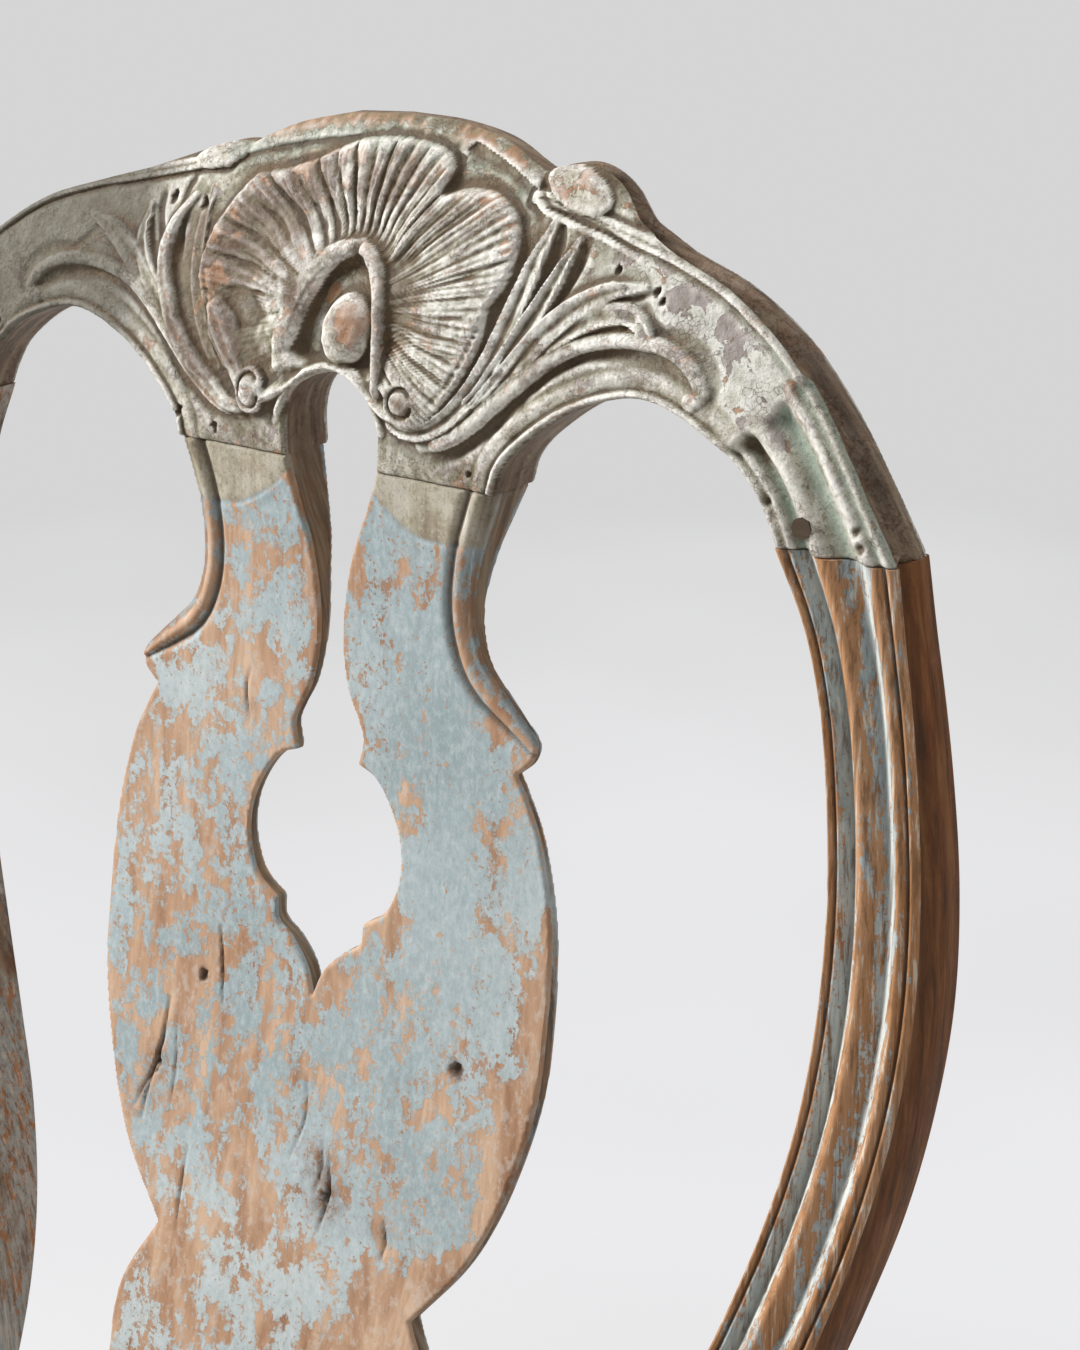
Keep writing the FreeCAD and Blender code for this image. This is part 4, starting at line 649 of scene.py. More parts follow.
def carve_hood(relief):
    """The canopy at the shell's root, with the pod under it, and the arch of the keyhole below."""
    hollow = spline(closed(HOLLOW), 5)
    within = inside(hollow, relief.x, relief.h)
    depth = climb(nearest(hollow, relief.x[within], relief.h[within])[0], 0, 3.5)
    relief.rise[within] = relief.rise[within] * (1 - depth) - 2.2 * depth
    relief.stroke(HOOD_LEFT, (2.2, 4.2, 5.4, 5.0, 3.2), 3.2, lean=-0.3, base=1.8)
    relief.stroke(HOOD_RIGHT, (2.4, 3.2, 3.0, 2.4, 2.0), 5.6, base=0.4)
    relief.knob(3.5, 236.5, 10.4, 12.4, 8.4, base=-2.0)
    relief.stroke([(-24, 203), (-19.5, 212), (-11, 219.5), (0, 224.2), (11, 222), (18.5, 214.5), (22.6, 205)],
                  (1.6, 1.8, 2.0, 1.8, 1.6), 2.4)
    for x, h, across, up in SCROLLS:
        relief.knob(x, h, across, up, 2.4, base=3.4)
        turns = np.linspace(0.6, 6.2, 9)
        ring = [(x + 0.72 * across * math.cos(a), h + 0.72 * up * math.sin(a)) for a in turns]
        relief.groove(ring, 1.2, 2.2, 0.05)
        relief.knob(x, h, 0.56 * across, 0.56 * up, 2.0, base=3.6)


def carve_side(relief, turn):
    """The leaves, beads and edge mouldings of one side: turn is 1 for the right and -1 for the left."""
    right = turn > 0
    x, h = relief.x * turn, relief.h
    side = Relief(x, h)
    side.rise = relief.rise
    here = x > 15
    if right:
        side.rise += 1.9 * swell(x, 70, 14) * swell(h, 240, 20) * here
    for points, width, depth in VALLEYS:
        side.groove(points, width, depth)
    for points, widths, height, shape, lean, ribs in RIGHT_LEAVES if right else LEFT_LEAVES:
        side.stroke(points, widths, height if right else 0.75 * height, shape, lean, ribs)
    arch = spline(ARCH, 8)
    from_arch = nearest(arch, x, h)[0]
    rim = np.interp(from_arch, *ARCH_RIM)
    side.rise += np.where(here, rim * climb(x, 160, 148), 0)
    shoulder = RIGHT_SHOULDER if right else mirror(LEFT_SHOULDER)[1:]
    top = spline([(66, 284), (74, 283.5), (92, 279.5), (107.9, 276)] + shoulder, 8)
    side.rise += np.where(x > 62, np.interp(nearest(top, x, h)[0], *TOP_BEAD), 0)
    if right:
        side.knob(82, 288, 14.5, 6.4, 2.6, base=0.8, turn=-0.32)
        side.groove([(66.5, 289), (70, 283.5), (78, 280.5), (92, 278), (106, 274)], 1.4, 1.1)
        side.stroke([(65, 285), (70, 281), (82, 277.8), (97, 274.6), (112, 270)], (0.9, 1.2, 1.1, 0.9), 1.1)
    else:
        side.knob(70, 286, 11.5, 4.6, 2.0, base=0.6, turn=-0.25)
    carve_moulding(side, from_arch, nearest(spline(shoulder, 8), x, h)[0])
    relief.rise = np.where(here, side.rise, relief.rise)


def carve_moulding(side, from_arch, from_shoulder):
    """Sinks the start of the stile's moulding into the end of the crest."""
    x, h = side.x, side.h
    gap, way, *_ = nearest(spline(STILE_RIDGE_START, 6), x, h)
    sunk_share = np.clip(gap * way / 5.0 + 0.4, 0, 1)
    sunk_share *= sunk_share * (3 - 2 * sunk_share) * (x > 140) * (h < 248)
    u = from_arch / np.clip(from_arch + from_shoulder, 1, None)
    side.rise = side.rise * (1 - sunk_share) - MOULDING_DEPTH * MOULDING(u) * sunk_share


# Places on the crest: x, h, radius and strength where it is rubbed to wood, where its top coat has flaked,
# where it is waxed brown with painted shade, amber or pale, and x, h and radius of its small holes
BARE_SPOTS = (
    (82, 289, 5, 0.75), (-40, 300, 12, 0.5), (-20, 302, 10, 0.5), (-2, 303, 7, 0.35), (12, 301, 8, 0.4),
    (50, 291, 5, 0.75), (57, 287, 4, 0.6), (60, 278, 3, 0.5), (26, 296, 4, 0.5), (-8, 296, 4, 0.4),
    (62, 270, 3, 0.4), (48, 281, 4, 0.4), (-59, 242, 6, 0.6), (-54, 270, 5, 0.4), (8, 236, 5, 0.7),
    (-7, 247, 4, 1.6), (13, 244, 3, 1.4), (-56, 248, 4, 1.2), (8, 242, 6, 0.8), (26, 233, 5, 0.6),
    (13, 252, 4, 0.4), (32, 246, 5, 0.4), (104, 254, 6, 0.3),
    (-10, 296, 5, 0.7), (12, 297.5, 4, 0.7), (31, 290, 4, 0.8), (-30, 287, 5, 0.8), (53, 284, 5, 0.7),
    (65, 275, 4, 0.6), (-62, 262, 4, 0.5), (40, 297, 8, 0.8), (30, 300, 6, 0.7), (52, 292, 6, 0.8),
    (129, 246, 5, 0.45), (141, 238, 5, 0.5), (118, 247, 5, 0.3), (-100, 280, 9, 0.3), (176, 236, 5, 0.4),
    (190, 214, 5, 0.3), (47, 196, 8, 0.3),
)
FLAKED_SPOTS = (
    (98, 269, 9, 0.8), (112, 266, 8, 0.7), (128, 262, 8, 0.7), (134, 257, 7, 0.7), (148, 252, 8, 0.9),
    (158, 243, 8, 0.7), (168, 236, 6, 0.6), (116, 254, 5, 0.6),
)
# Brown wax, with painted shade on the shell's left lobe and painted shadow beside the hood
WAXED_AND_SHADED_SPOTS = (
    (27, 248, 9, 0.9), (24, 238, 7, 0.8), (20, 258, 6, 0.5), (-42, 264, 14, 1.0), (-55, 252, 10, 0.9),
    (-50, 232, 10, 0.7), (-36, 222, 8, 0.5), (-30, 276, 10, 0.5), (0, 284, 12, 0.3), (32.5, 216, 6, 0.8),
    (8, 238, 7, 1.2), (-16, 247, 7, 0.6), (-72, 252, 9, 1.2), (-66, 234, 9, 1.1), (60, 200, 14, 0.3),
    (-70, 264, 6, 1.4), (-66, 248, 6, 1.4), (-61, 232, 6, 1.4), (-54, 221, 6, 1.2), (-44, 228, 9, 0.9),
    (-24, 284, 8, 0.6), (14, 290, 8, 0.5), (-60, 214, 8, 0.7), (-34, 270, 20, 0.5),
    (-52, 248, 18, 0.4), (10, 284, 18, 0.35), (40, 276, 12, 0.3),
    (82, 236, 7, 0.3), (135, 246, 8, 0.4), (-110, 256, 14, 0.4), (-40, 200, 12, 0.4),
)
AMBER_SPOTS = ((-7, 248, 5, 0.9), (14, 242, 3.5, 0.9), (-56, 248, 4, 0.5), (-10, 238, 4, 0.6))
PALE_SPOTS = (
    (66, 240, 8, 1.0), (60, 226, 8, 1.0), (70, 256, 8, 0.9), (45, 208, 9, 0.9), (30, 205, 7, 0.6),
    (-20, 262, 8, 1.0), (-7, 236, 4, 1.2), (-34, 213, 6, 0.9), (84, 244, 8, 0.7), (96, 252, 8, 0.5),
    (42, 246, 16, 0.6), (-88, 256, 6, 0.9), (-74, 262, 5, 0.8), (-32, 250, 8, 0.6), (150, 252, 16, 0.6),
    (128, 256, 14, 0.5), (166, 240, 10, 0.5), (110, 232, 12, 0.4), (56, 268, 10, 0.4),
)
HOLE_SPOTS = (
    (105, 266, 1.5), (121, 261.5, 1.8), (124, 259, 1.3), (183, 196, 1.8), (205, 196, 2.4), (-86, 271, 2.2),
    (-71, 270, 2.6), (-69, 200, 2.4), (-52, 197, 1.8), (171, 205, 1.3), (203, 201, 1.6), (59, 196.5, 1.2),
)


def spots(table, x, h):
    """A field that swells at listed spots, by 1 where the table gives no strength."""
    total = np.zeros(x.shape)
    for spot_x, spot_h, radius, *strength in table:
        total += (strength or [1])[0] * swell(x, spot_x, radius) * swell(h, spot_h, radius)
    return total


def crest_relief(plate, near_stile):
    """Heights of the whole carved face, with its holes, a little softened."""
    x, h = plate.x, plate.h
    relief = Relief(x, h)
    relief.rise += 0.25 * noise(x, h, 14, 21)
    top_bead = np.interp(below_top(x, h), (0, 3, 6.5, 8, 11), (0.6, 1.2, 1.0, -0.6, 0))
    relief.rise += np.where(np.abs(x) < SHELL_HALF, top_bead, 0)
    ground = spline(closed(GROUND), 6)
    hollow = inside(ground, x, h)
    relief.rise[hollow] = -1.7 * climb(nearest(ground, x[hollow], h[hollow])[0], 0, 6)
    carve_shell(relief)
    for turn in (1, -1):
        carve_side(relief, turn)
    carve_hood(relief)
    carved = np.clip(blur(relief.rise, 3), 0, 1)
    relief.rise += (0.12 + 0.2 * carved) * noise(x, h, 2.4, 22) + 0.3 * noise(x, h, 6, 23)
    for hole_x, hole_h, radius in HOLE_SPOTS:
        q = np.hypot((x - hole_x) / (0.5 * radius), (h - hole_h) / (0.75 * radius))
        q *= 1 + 0.5 * noise(x, h, 1.1, 29)
        relief.rise -= 2.6 * np.clip(1.4 - q, 0, 1)
    soft = 0.4 + 0.6 * near_stile
    return (1 - soft) * relief.rise + soft * blur(relief.rise, 1)


def crest_fields(plate, rise, near_stile):
    """Where the crest has wax and painted shade in its carving, painted highlights on its ridges, wear,
    flakes, wax and painted shade in patches, pale or green paint, and painted shade over its left end.
    """
    at = plate.used
    x, h = plate.flat_x, plate.flat_h
    # Painted shade, with wax: darker in hollows, narrow cuts and holes, less at the ends and by the stiles
    hollow = blur(rise, 4) - rise
    wide = blur(rise, 16) - rise
    near = blur(rise, 1) - rise
    shade = hollow * 0.55 + wide * 0.07 + near * 1.1
    shade *= (1 - 0.5 * climb(np.abs(plate.x), 95, 115)) * (1 - 0.75 * near_stile)
    deep = np.clip(shade.ravel()[at] + 0.5 * spots(HOLE_SPOTS, x, h) - spots(AMBER_SPOTS, x, h), -1, 1)
    top_gap = below_top(x, h)
    worn = climb(plate.gap, 2.2, 0) * 0.3 - deep * 0.5 + spots(BARE_SPOTS, x, h)
    worn += 1.1 * climb(top_gap, 5, 0) * (x > -62) * (x < 6)
    worn += 0.9 * swell(top_gap, 4.5, 1.8) * (x > 6) * (x < 46)
    band = climb(np.abs(top_gap - 7), 6, 0) * (np.abs(x) < SHELL_HALF)
    return {
        "deep": np.clip(deep, 0, 1), "worn": worn, "side": np.zeros(len(at)),
        # Painted highlight on the carving's raised ridges
        "crown": np.clip((rise - blur(rise, 2)).ravel()[at] * 2.2, 0, 1),
        "flaked": spots(FLAKED_SPOTS, x, h), "waxed_and_shaded": spots(WAXED_AND_SHADED_SPOTS, x, h),
        # Painted shade over the crest's left end, and pale paint at the pale spots
        "left_end_shade": climb(-x, 84, 100), "pale": spots(PALE_SPOTS, x, h),
        "cove_tint_and_gleam": np.clip(hollow.ravel()[at] * 1.2, 0, 1) * near_stile.ravel()[at] + 0.8 * band,
    }


def crest_back(h, gap, front):
    """Depths of the crest's back, which draws in to the thin top."""
    share = smooth(((0, 0), (0.25, 0.063), (0.51, 0.228), (0.7, 0.407), (0.85, 0.65), (1, 1)))
    low, high = face_at(JOINT) + 25, face_at(CREST_TOP) + 9
    back = low + (high - low) * share((h - JOINT) / (CREST_TOP - JOINT))
    return np.maximum(back - rounding(gap, 2.5), front + 1.5)


def crest():
    """The carved crest rail."""
    corners = [(turn * x, JOINT) for turn in (-1, 1) for x in (NECK_IN, NECK_OUT, STILE_IN, STILE_OUT)]
    plate = Plate([crest_outline()], CREST_CELL, JOINT, corners)
    near_stile = climb(np.abs(plate.x), 160, 174)
    rise = crest_relief(plate, near_stile)
    fields = crest_fields(plate, rise, near_stile)
    x, h = plate.flat_x, plate.flat_h
    front = face(h) - rise.ravel()[plate.used] + rounding(plate.gap, 1.6)
    outer = (np.abs(x) > SHELL_HALF) & (h > 286 - 0.0021 * x ** 2)
    scoop = np.where(outer, 3.4 * climb(np.abs(x), SHELL_HALF, 96), 0)
    back = crest_back(h, plate.gap, front)
    piece = plate.build("carved_crest", front, back, 10, fields, {"side": 1.0, "worn": 0.35}, scoop)
    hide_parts("crest_rail")
    return piece


# Where the splat is scraped bare, and where its paint holds: x, h, radius, strength
SCRAPED_SPOTS = (
    (-46, 138, 9, 0.5), (-31, 119, 10, 0.5), (-75, 77, 10, 0.5), (-89, 52, 9, 0.4), (15, 160, 7, 0.5),
    (10, 140, 6, 0.4), (28, 124, 6, 0.4), (37, 79, 7, 0.55), (31, 60, 5, 0.5), (25, 42, 8, 0.5),
    (75, 98, 6, 0.5), (97, 49, 5, 0.8), (83, 42, 7, 0.6), (60, 15, 7, 0.4), (95, 8, 6, 0.9), (98, 28, 4, 0.8),
    (90, -14, 9, 0.9), (80, -34, 9, 0.7), (9, 8, 9, 0.5), (34, 6, 9, 0.4), (34, -47, 10, 0.5),
    (-32, -49, 12, 0.5), (-34, -70, 12, 0.4), (52, -98, 16, 0.9), (43, -112, 16, 0.8), (-10, -88, 12, 0.4),
    (-52, -112, 16, 0.5), (-70, -85, 9, 0.5), (-80, 12, 10, 0.4), (-58, -5, 12, 0.4), (-70, -40, 12, 0.4),
    (72, 112, 5, 0.7), (84, 102, 5, 0.9), (66, 25, 16, -0.5), (65, -60, 15, -0.5), (-11, -37, 12, -0.4),
    (49, 105, 17, -0.6), (58, 66, 16, -0.6), (48, 140, 12, -0.5), (-92, 15, 8, -0.3), (11, -105, 10, -0.5),
    (-20, 30, 14, -0.2),
)
# Where it is stained brown about its cracks and knots
STAINED_SPOTS = (
    (16.5, -70, 8, 0.9), (10, -55, 5, 0.6), (42, -74, 5, 0.6), (14, -62, 6, 0.6), (-70, -42, 6, 0.8),
    (-51, -6, 4, 0.8), (66, -9.4, 3.4, 1.3), (-74, -55, 5, 0.7), (-78, -64, 4, 0.5), (-36, 98, 4, 0.5),
)
# Cracks: points, half width and depth, and holes: x, h, half width and half height
CRACKS = (
    ([(-66, -18), (-68, -34), (-72, -52), (-74, -66)], 1.1, 0.8),
    ([(-45, 14), (-43, 2), (-41, -14)], 1.0, 0.8),
    ([(-50, -70), (-51, -90), (-50, -104)], 1.0, 0.5), ([(-66, -30), (-71, -46), (-78, -62)], 1.0, 0.6),
    ([(16, -56), (17.5, -68), (15, -82)], 1.1, 0.8), ([(43, -70), (45, -77), (44, -84)], 1.0, 0.6),
    ([(2, -30), (3, -44), (-2, -60)], 0.9, 0.4), ([(-36, 92), (-38, 104), (-36, 112)], 1.0, 0.5),
    ([(12, -50), (13, -60), (11, -70)], 0.9, 0.5), ([(-62, -24), (-60, -44), (-61, -60)], 0.9, 0.4),
)
HOLES = ((-51.2, -6, 1.7, 2.3), (66.1, -9.4, 2.1, 3.0), (16.5, -70, 1.5, 2.2), (-68.9, -42.7, 1.5, 3.2))
# The lower edge of the cream paint on the two necks
RIGHT_CAP = [(14, 189), (19, 183.7), (30.4, 174.9), (40.6, 171.4), (52, 171.3), (60, 172)]
LEFT_CAP = [(-72, 172), (-62, 170), (-42.3, 171), (-25.9, 179.4), (-17, 188)]


def splat_strips(relief):
    """The grooved strip along each side of the waist. Gives how much each place is rubbed."""
    strip = spline(SPLAT_STRIP[2:], 8)
    rubbed = np.zeros(relief.x.shape)
    for turn in (1, -1):
        gap, _, share, *_ = nearest(strip, relief.x * turn, relief.h)
        q = gap / np.interp(share, (0, 0.1, 0.25, 1), (4, 7.0, 10.0, 10.6))
        here = (relief.x * turn > 40) & (relief.h > 100)
        bead = np.interp(q, (0, 0.15, 0.22, 0.3, 0.42, 0.56, 0.66, 0.72, 0.8, 0.94, 1.02, 1.1),
                         (-1.6, -1.2, -1.7, -0.4, 0.7, 0.9, 0.6, -0.2, -1.9, -2.4, -1.2, 0))
        relief.rise += np.where(here & (q < 1.1), bead, 0)
        rubbed += np.where(here, np.interp(q, (0.2, 0.35, 0.65, 0.75), (0, 0.75, 0.75, 0)), 0)
    return rubbed


def splat_relief(plate):
    """Heights of the splat's face, and how much each place is rubbed."""
    x, h = plate.x, plate.h
    relief = Relief(x, h)
    rubbed = splat_strips(relief)
    for line in (spline(RIGHT_CAP, 6), spline(LEFT_CAP, 6)):
        relief.groove(line, 0.9, 0.7, 0.02)
        relief.stroke((line - (0, 1.5))[np.abs(line[:, 0]) < 51], (0.7, 0.9, 0.7), 0.45)
    relief.rise += 0.35 * noise(x, h * 0.4, 22, 31) + 0.08 * noise(x, h * 0.2, 3, 32)
    relief.rise = 0.25 * relief.rise + 0.75 * blur(relief.rise, 1)
    for points, width, depth in CRACKS:
        relief.groove(points, width, 1.7 * depth, 0.4)
    for hole_x, hole_h, across, up in HOLES:
        q = np.hypot((x - hole_x) / across, (h - hole_h) / up) * (1 + 0.4 * noise(x, h, 1.3, 33))
        relief.rise -= 2.2 * np.clip(1.25 - q, 0, 1) ** 0.6 * (q < 1.25)
    return relief.rise, rubbed


def splat():
    """The splat: flat faced, with a grooved strip along each side of its waist."""
    corners = ((NECK_IN, JOINT), (NECK_OUT, JOINT), SPLAT_BODY[0], KEYHOLE[1][0])
    corners = [(turn * x, h) for turn in (-1, 1) for x, h in corners] + [(0, 0)]
    plate = Plate([splat_outline()], SPLAT_CELL, JOINT, corners)
    rise, rubbed = splat_relief(plate)
    at = plate.used
    hollow = (blur(rise, 3) - rise).ravel()[at]
    x, h = plate.flat_x, plate.flat_h
    thick = smooth(((-240, 8), (0, 8), (139, 8), (150, 9.7), (165, 14.3), (178, 18.5), (JOINT, 22)))(h)
    front = face(h) - rise.ravel()[at] + rounding(plate.gap, 1.1)
    back = face(h) + thick - rounding(plate.gap, 1.5)
    worn = climb(plate.gap, 4, 0) * 0.5 + spots(SCRAPED_SPOTS, x, h) + rubbed.ravel()[at]
    worn += 0.16 * np.clip(-x / 50, -0.6, 1) + 0.1 * climb(h, -30, -70)
    worn += 1.5 * climb(plate.gap, 13, 0) * (x > 30) * climb(h, 48, 28) * (h > -110)
    caps = [np.interp(x, *np.array(cap).T) for cap in (RIGHT_CAP, LEFT_CAP)]
    # deep: painted shade in the strip's grooves, the cracks and the holes
    fields = {
        "deep": np.clip(hollow * 0.9, 0, 1), "worn": worn, "side": np.zeros(len(at)),
        "cap": np.clip((h - np.where(x > 0, *caps)) / 1.2 + 0.5, 0, 1), "stain": spots(STAINED_SPOTS, x, h),
    }
    wall_side = np.where(x > 52, 0.62, 1.0)
    piece = plate.build("pierced_splat", front, back, 4, fields, {"side": wall_side, "worn": 0.2})
    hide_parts("splat")
    return piece


# Posts: rows as in the frame, with shares of the height, the half width and the post's depth

HALF_WIDTH, POST_DEPTH, POST_REACH = 234.5, 46.0, 72.0
RAIL_TOP, RAIL_BOTTOM, TIP = 438.0, 373.0, 680.0
POST_ROWS = (
    (0.028, 0.64, 0.819, 1.0, 1.0, 0.0), (0.097, 0.642, 0.817, 0.62, 1.0, 0.5),
    (0.166, 0.65, 0.819, 0.31, 0.99, 1.0), (0.247, 0.674, 0.836, 0.1, 0.98, 1.0),
    (0.328, 0.716, 0.866, 0.0, 0.965, 1.0), (0.406, 0.765, 0.908, 0.0, 0.94, 1.0),
    (0.49, 0.81, 0.95, 0.0, 0.89, 1.0), (0.58, 0.843, 0.981, 0.0, 0.81, 1.0),
    (0.66, 0.855, 0.994, 0.0, 0.76, 1.0), (0.752, 0.853, 0.989, 0.0, 0.7, 1.0),
    (0.835, 0.838, 0.972, 0.0, 0.64, 1.0), (0.89, 0.822, 0.957, 0.0, 0.6, 1.0),
    (0.95, 0.79, 0.938, 0.0, 0.565, 1.0), (1.0, 0.744, 0.924, 0.0, 0.545, 1.0),
)
# The leg below the rail, going up: share of its height, its slimness and its sweep back
FOOT_ROWS = (
    (0, 1, 1), (0.11, 0.86, 0.82), (0.27, 0.62, 0.54), (0.54, 0.28, 0.2), (0.8, 0.07, 0.03), (1, 0, 0),
)
# The leg's inner and outer side under the rail, and the level rings of the leg and of the stile
LEG_INNER, LEG_OUTER = 150, 192
LEG_RINGS, STILE_RINGS = 50, 150
# Points of each level ring: on the moulded face, and as far as the end of the outer side
FACE_POINTS, SIDE_END = 100, 129


def post_rows():
    """Height above the tip, inner and outer edge, front, depth and fullness of the moulding, going up."""
    post_front = BACK_SET - POST_REACH
    slimness, sweep_back = (smooth([(row[0], row[k]) for row in FOOT_ROWS]) for k in (1, 2))
    rows = []
    for share in np.linspace(0, 1, LEG_RINGS):
        slim, sweep = float(slimness(share)), float(sweep_back(share))
        rows.append((share * RAIL_BOTTOM - TIP, LEG_INNER + 7 * slim, LEG_OUTER - 7 * slim,
                     post_front + POST_REACH * sweep, POST_DEPTH - 16 * slim, 0))
    above = JOINT + TIP - RAIL_TOP
    columns = [smooth([(row[0], row[k]) for row in POST_ROWS]) for k in range(1, 6)]
    low = POST_ROWS[0][0]
    step = face_at(RAIL_TOP + low * above - TIP) - post_front
    for share in np.linspace(low, 1, STILE_RINGS):
        h = RAIL_TOP + share * above - TIP
        inner, outer, proud, depth, full = (float(column(share)) for column in columns)
        rows.append((h, inner * HALF_WIDTH, outer * HALF_WIDTH, face_at(h) - proud * step,
                     depth * POST_DEPTH, full))
    return rows


def post_ring(inner, outer, front, depth, full):
    """One level ring of the post: its moulded face, its hollowed outer side, its back and its inner side."""
    u = np.linspace(0, 1, FACE_POINTS)
    width = outer - inner
    ease = rounding(np.minimum(u, 1 - u) * width, 2.2)
    v = MOULDING(u) * full
    ring = [np.stack([inner + u * width, front + v * MOULDING_DEPTH + ease * (1 - 0.6 * full)], -1)]
    first, last = ring[0][-1, 1], front + depth
    w = np.linspace(0, 1, SIDE_END - FACE_POINTS + 1)[1:]
    scoop = POST_SCOOP(w) * full
    ring.append(np.stack([outer - scoop - rounding((1 - w) * depth, 2.5), first + w * (last - first)], -1))
    w = np.linspace(0, 1, 16)[1:-1]
    ring.append(np.stack([outer - 2 - w * (width - 4), np.full_like(w, last)], -1))
    w = np.linspace(0, 1, 24)[:-1]
    ring.append(np.stack([inner + rounding(w * depth, 2.5), last - w * (last - ring[0][0, 1])], -1))
    xy = np.vstack(ring)
    worn, deep, side, cove_tint_and_gleam = np.zeros((4, len(xy)))
    worn[:FACE_POINTS] = MOULDING_WEAR(u) * full
    # Painted shade in the moulding's fillets, and a painted shadow on the outer side under the front lip
    deep[:FACE_POINTS] = np.clip(np.gradient(np.gradient(v)) * -22, 0, 0.8) * full
    deep[FACE_POINTS:FACE_POINTS + 12] = np.linspace(0.6, 0, 12) * full
    side[FACE_POINTS:SIDE_END] = full
    side[SIDE_END:] = 0.4 * full
    # A painted highlight along the moulding's two coves
    cove_tint_and_gleam[:FACE_POINTS] = (swell(u, 0.28, 0.08) + 0.9 * swell(u, 0.72, 0.045)) * full
    return xy, worn, deep, side, cove_tint_and_gleam


def post(name, turn):
    """A rear post, from the floor to the crest."""
    rows = post_rows()
    rings, columns = [], {"worn": [], "deep": [], "side": [], "cove_tint_and_gleam": [], "along": []}
    for h, *row in rows:
        xy, *values = post_ring(*row)
        rings.append(in_metres(turn * xy[:, 0], xy[:, 1], np.full(len(xy), h)))
        for column, value in zip(columns.values(), values + [np.ones(len(xy))]):
            column.append(value)
    fields = {key: np.concatenate(column) for key, column in columns.items()}
    piece = tube(name + "_moulded_post", np.array(rings), fields, flip=turn < 0)
    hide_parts(name + "_rear_post")
    return piece


# Materials

class Nodes:
    """A short way to write a material's nodes."""

    def __init__(self, name):
        self.material = bpy.data.materials.new(name)
        self.material.use_nodes = True
        self.tree = self.material.node_tree
        self.shader = self.tree.nodes["Principled BSDF"]

    def add(self, kind, inputs=None, **settings):
        """Adds a node: settings are its own, inputs are values or sockets."""
        node = self.tree.nodes.new(kind)
        for key, value in settings.items():
            setattr(node, key, value)
        for key, value in (inputs or {}).items():
            self.feed(node.inputs[key], value)
        return node

    def feed(self, socket, value):
        """Sets a socket, or links another to it."""
        if isinstance(value, bpy.types.NodeSocket):
            self.tree.links.new(value, socket)
        else:
            socket.default_value = value

    def math(self, operation, a, b=0.0, c=0.0, clamp=False):
        """One sum."""
        node = self.add("ShaderNodeMath", {0: a, 1: b, 2: c}, operation=operation, use_clamp=clamp)
        return node.outputs[0]

    def times(self, a, b, clamp=False):
        return self.math("MULTIPLY", a, b, clamp=clamp)

    def plus(self, a, b):
        return self.math("ADD", a, b)

    def minus(self, a, b):
        return self.math("SUBTRACT", a, b)

    def ramp(self, value, *stops):
        """A value turned into a colour or a number by stops of (place, colour)."""
        node = self.add("ShaderNodeValToRGB", {"Fac": value})
        ramp = node.color_ramp
        while len(ramp.elements) < len(stops):
            ramp.elements.new(0.5)
        for element, (place, colour) in zip(ramp.elements, stops):
            element.position = place
            element.color = (colour, colour, colour, 1) if isinstance(colour, (int, float)) else (*colour, 1)
        return node.outputs["Color"]

    def mix(self, share, a, b, blend="MIX"):
        """Two colours mixed."""
        node = self.add("ShaderNodeMix", data_type="RGBA", blend_type=blend)
        self.feed(node.inputs[0], share)
        for socket, value in ((node.inputs[6], a), (node.inputs[7], b)):
            self.feed(socket, (*value, 1) if isinstance(value, tuple) and len(value) == 3 else value)
        return node.outputs[2]

    def place(self, scale=(1, 1, 1)):
        """The place on the piece, stretched."""
        coordinates = self.add("ShaderNodeTexCoord").outputs["Object"]
        node = self.add("ShaderNodeMapping", {"Vector": coordinates, "Scale": scale})
        return node.outputs[0]

    def noise(self, place, scale, detail=4.0, rough=0.55, distortion=0.0):
        """Cloudy values from 0 to 1."""
        inputs = {"Vector": place, "Scale": scale, "Detail": detail, "Roughness": rough}
        return self.add("ShaderNodeTexNoise", {**inputs, "Distortion": distortion}).outputs["Fac"]

    def field(self, name):
        """A value kept at the piece's vertices."""
        return self.add("ShaderNodeAttribute", attribute_name=name).outputs["Fac"]

    def finish(self, colour, roughness, height, distance, specular=0.3):
        """Feeds the shader."""
        self.feed(self.shader.inputs["Base Color"], colour)
        self.feed(self.shader.inputs["Roughness"], roughness)
        self.shader.inputs["Specular IOR Level"].default_value = specular
        bump = self.add("ShaderNodeBump", {"Height": height, "Distance": distance, "Strength": 1.0})
        self.feed(self.shader.inputs["Normal"], bump.outputs["Normal"])
        return self.material


def rgb(red, green, blue):
    """A colour written as it looks, from 0 to 255."""
    return tuple(((v / 255 + 0.055) / 1.055) ** 2.4 for v in (red, green, blue))


def bare_wood(n, grain=(1, 1, 0.05)):
    """Colour and height of old bare pine, with its grain along the stretched axis."""
    stretched = n.place(grain)
    rings = n.noise(stretched, 95, 5, 0.6, 0.4)
    fibre = n.noise(stretched, 520, 3, 0.6)
    cloud = n.noise(n.place(), 14, 3)
    colour = n.ramp(rings, (0.3, rgb(150, 114, 88)), (0.46, rgb(178, 143, 115)), (0.62, rgb(199, 169, 143)))
    streaks = n.ramp(fibre, (0.35, 0.7), (0.55, 1.0))
    colour = n.mix(0.4, colour, streaks, "MULTIPLY")
    tint = n.ramp(cloud, (0.35, rgb(232, 214, 196)), (0.6, (1.0, 1.0, 1.0)))
    colour = n.mix(0.5, colour, tint, "MULTIPLY")
    height = n.plus(n.times(rings, 0.5), n.times(fibre, 0.3))
    return colour, height


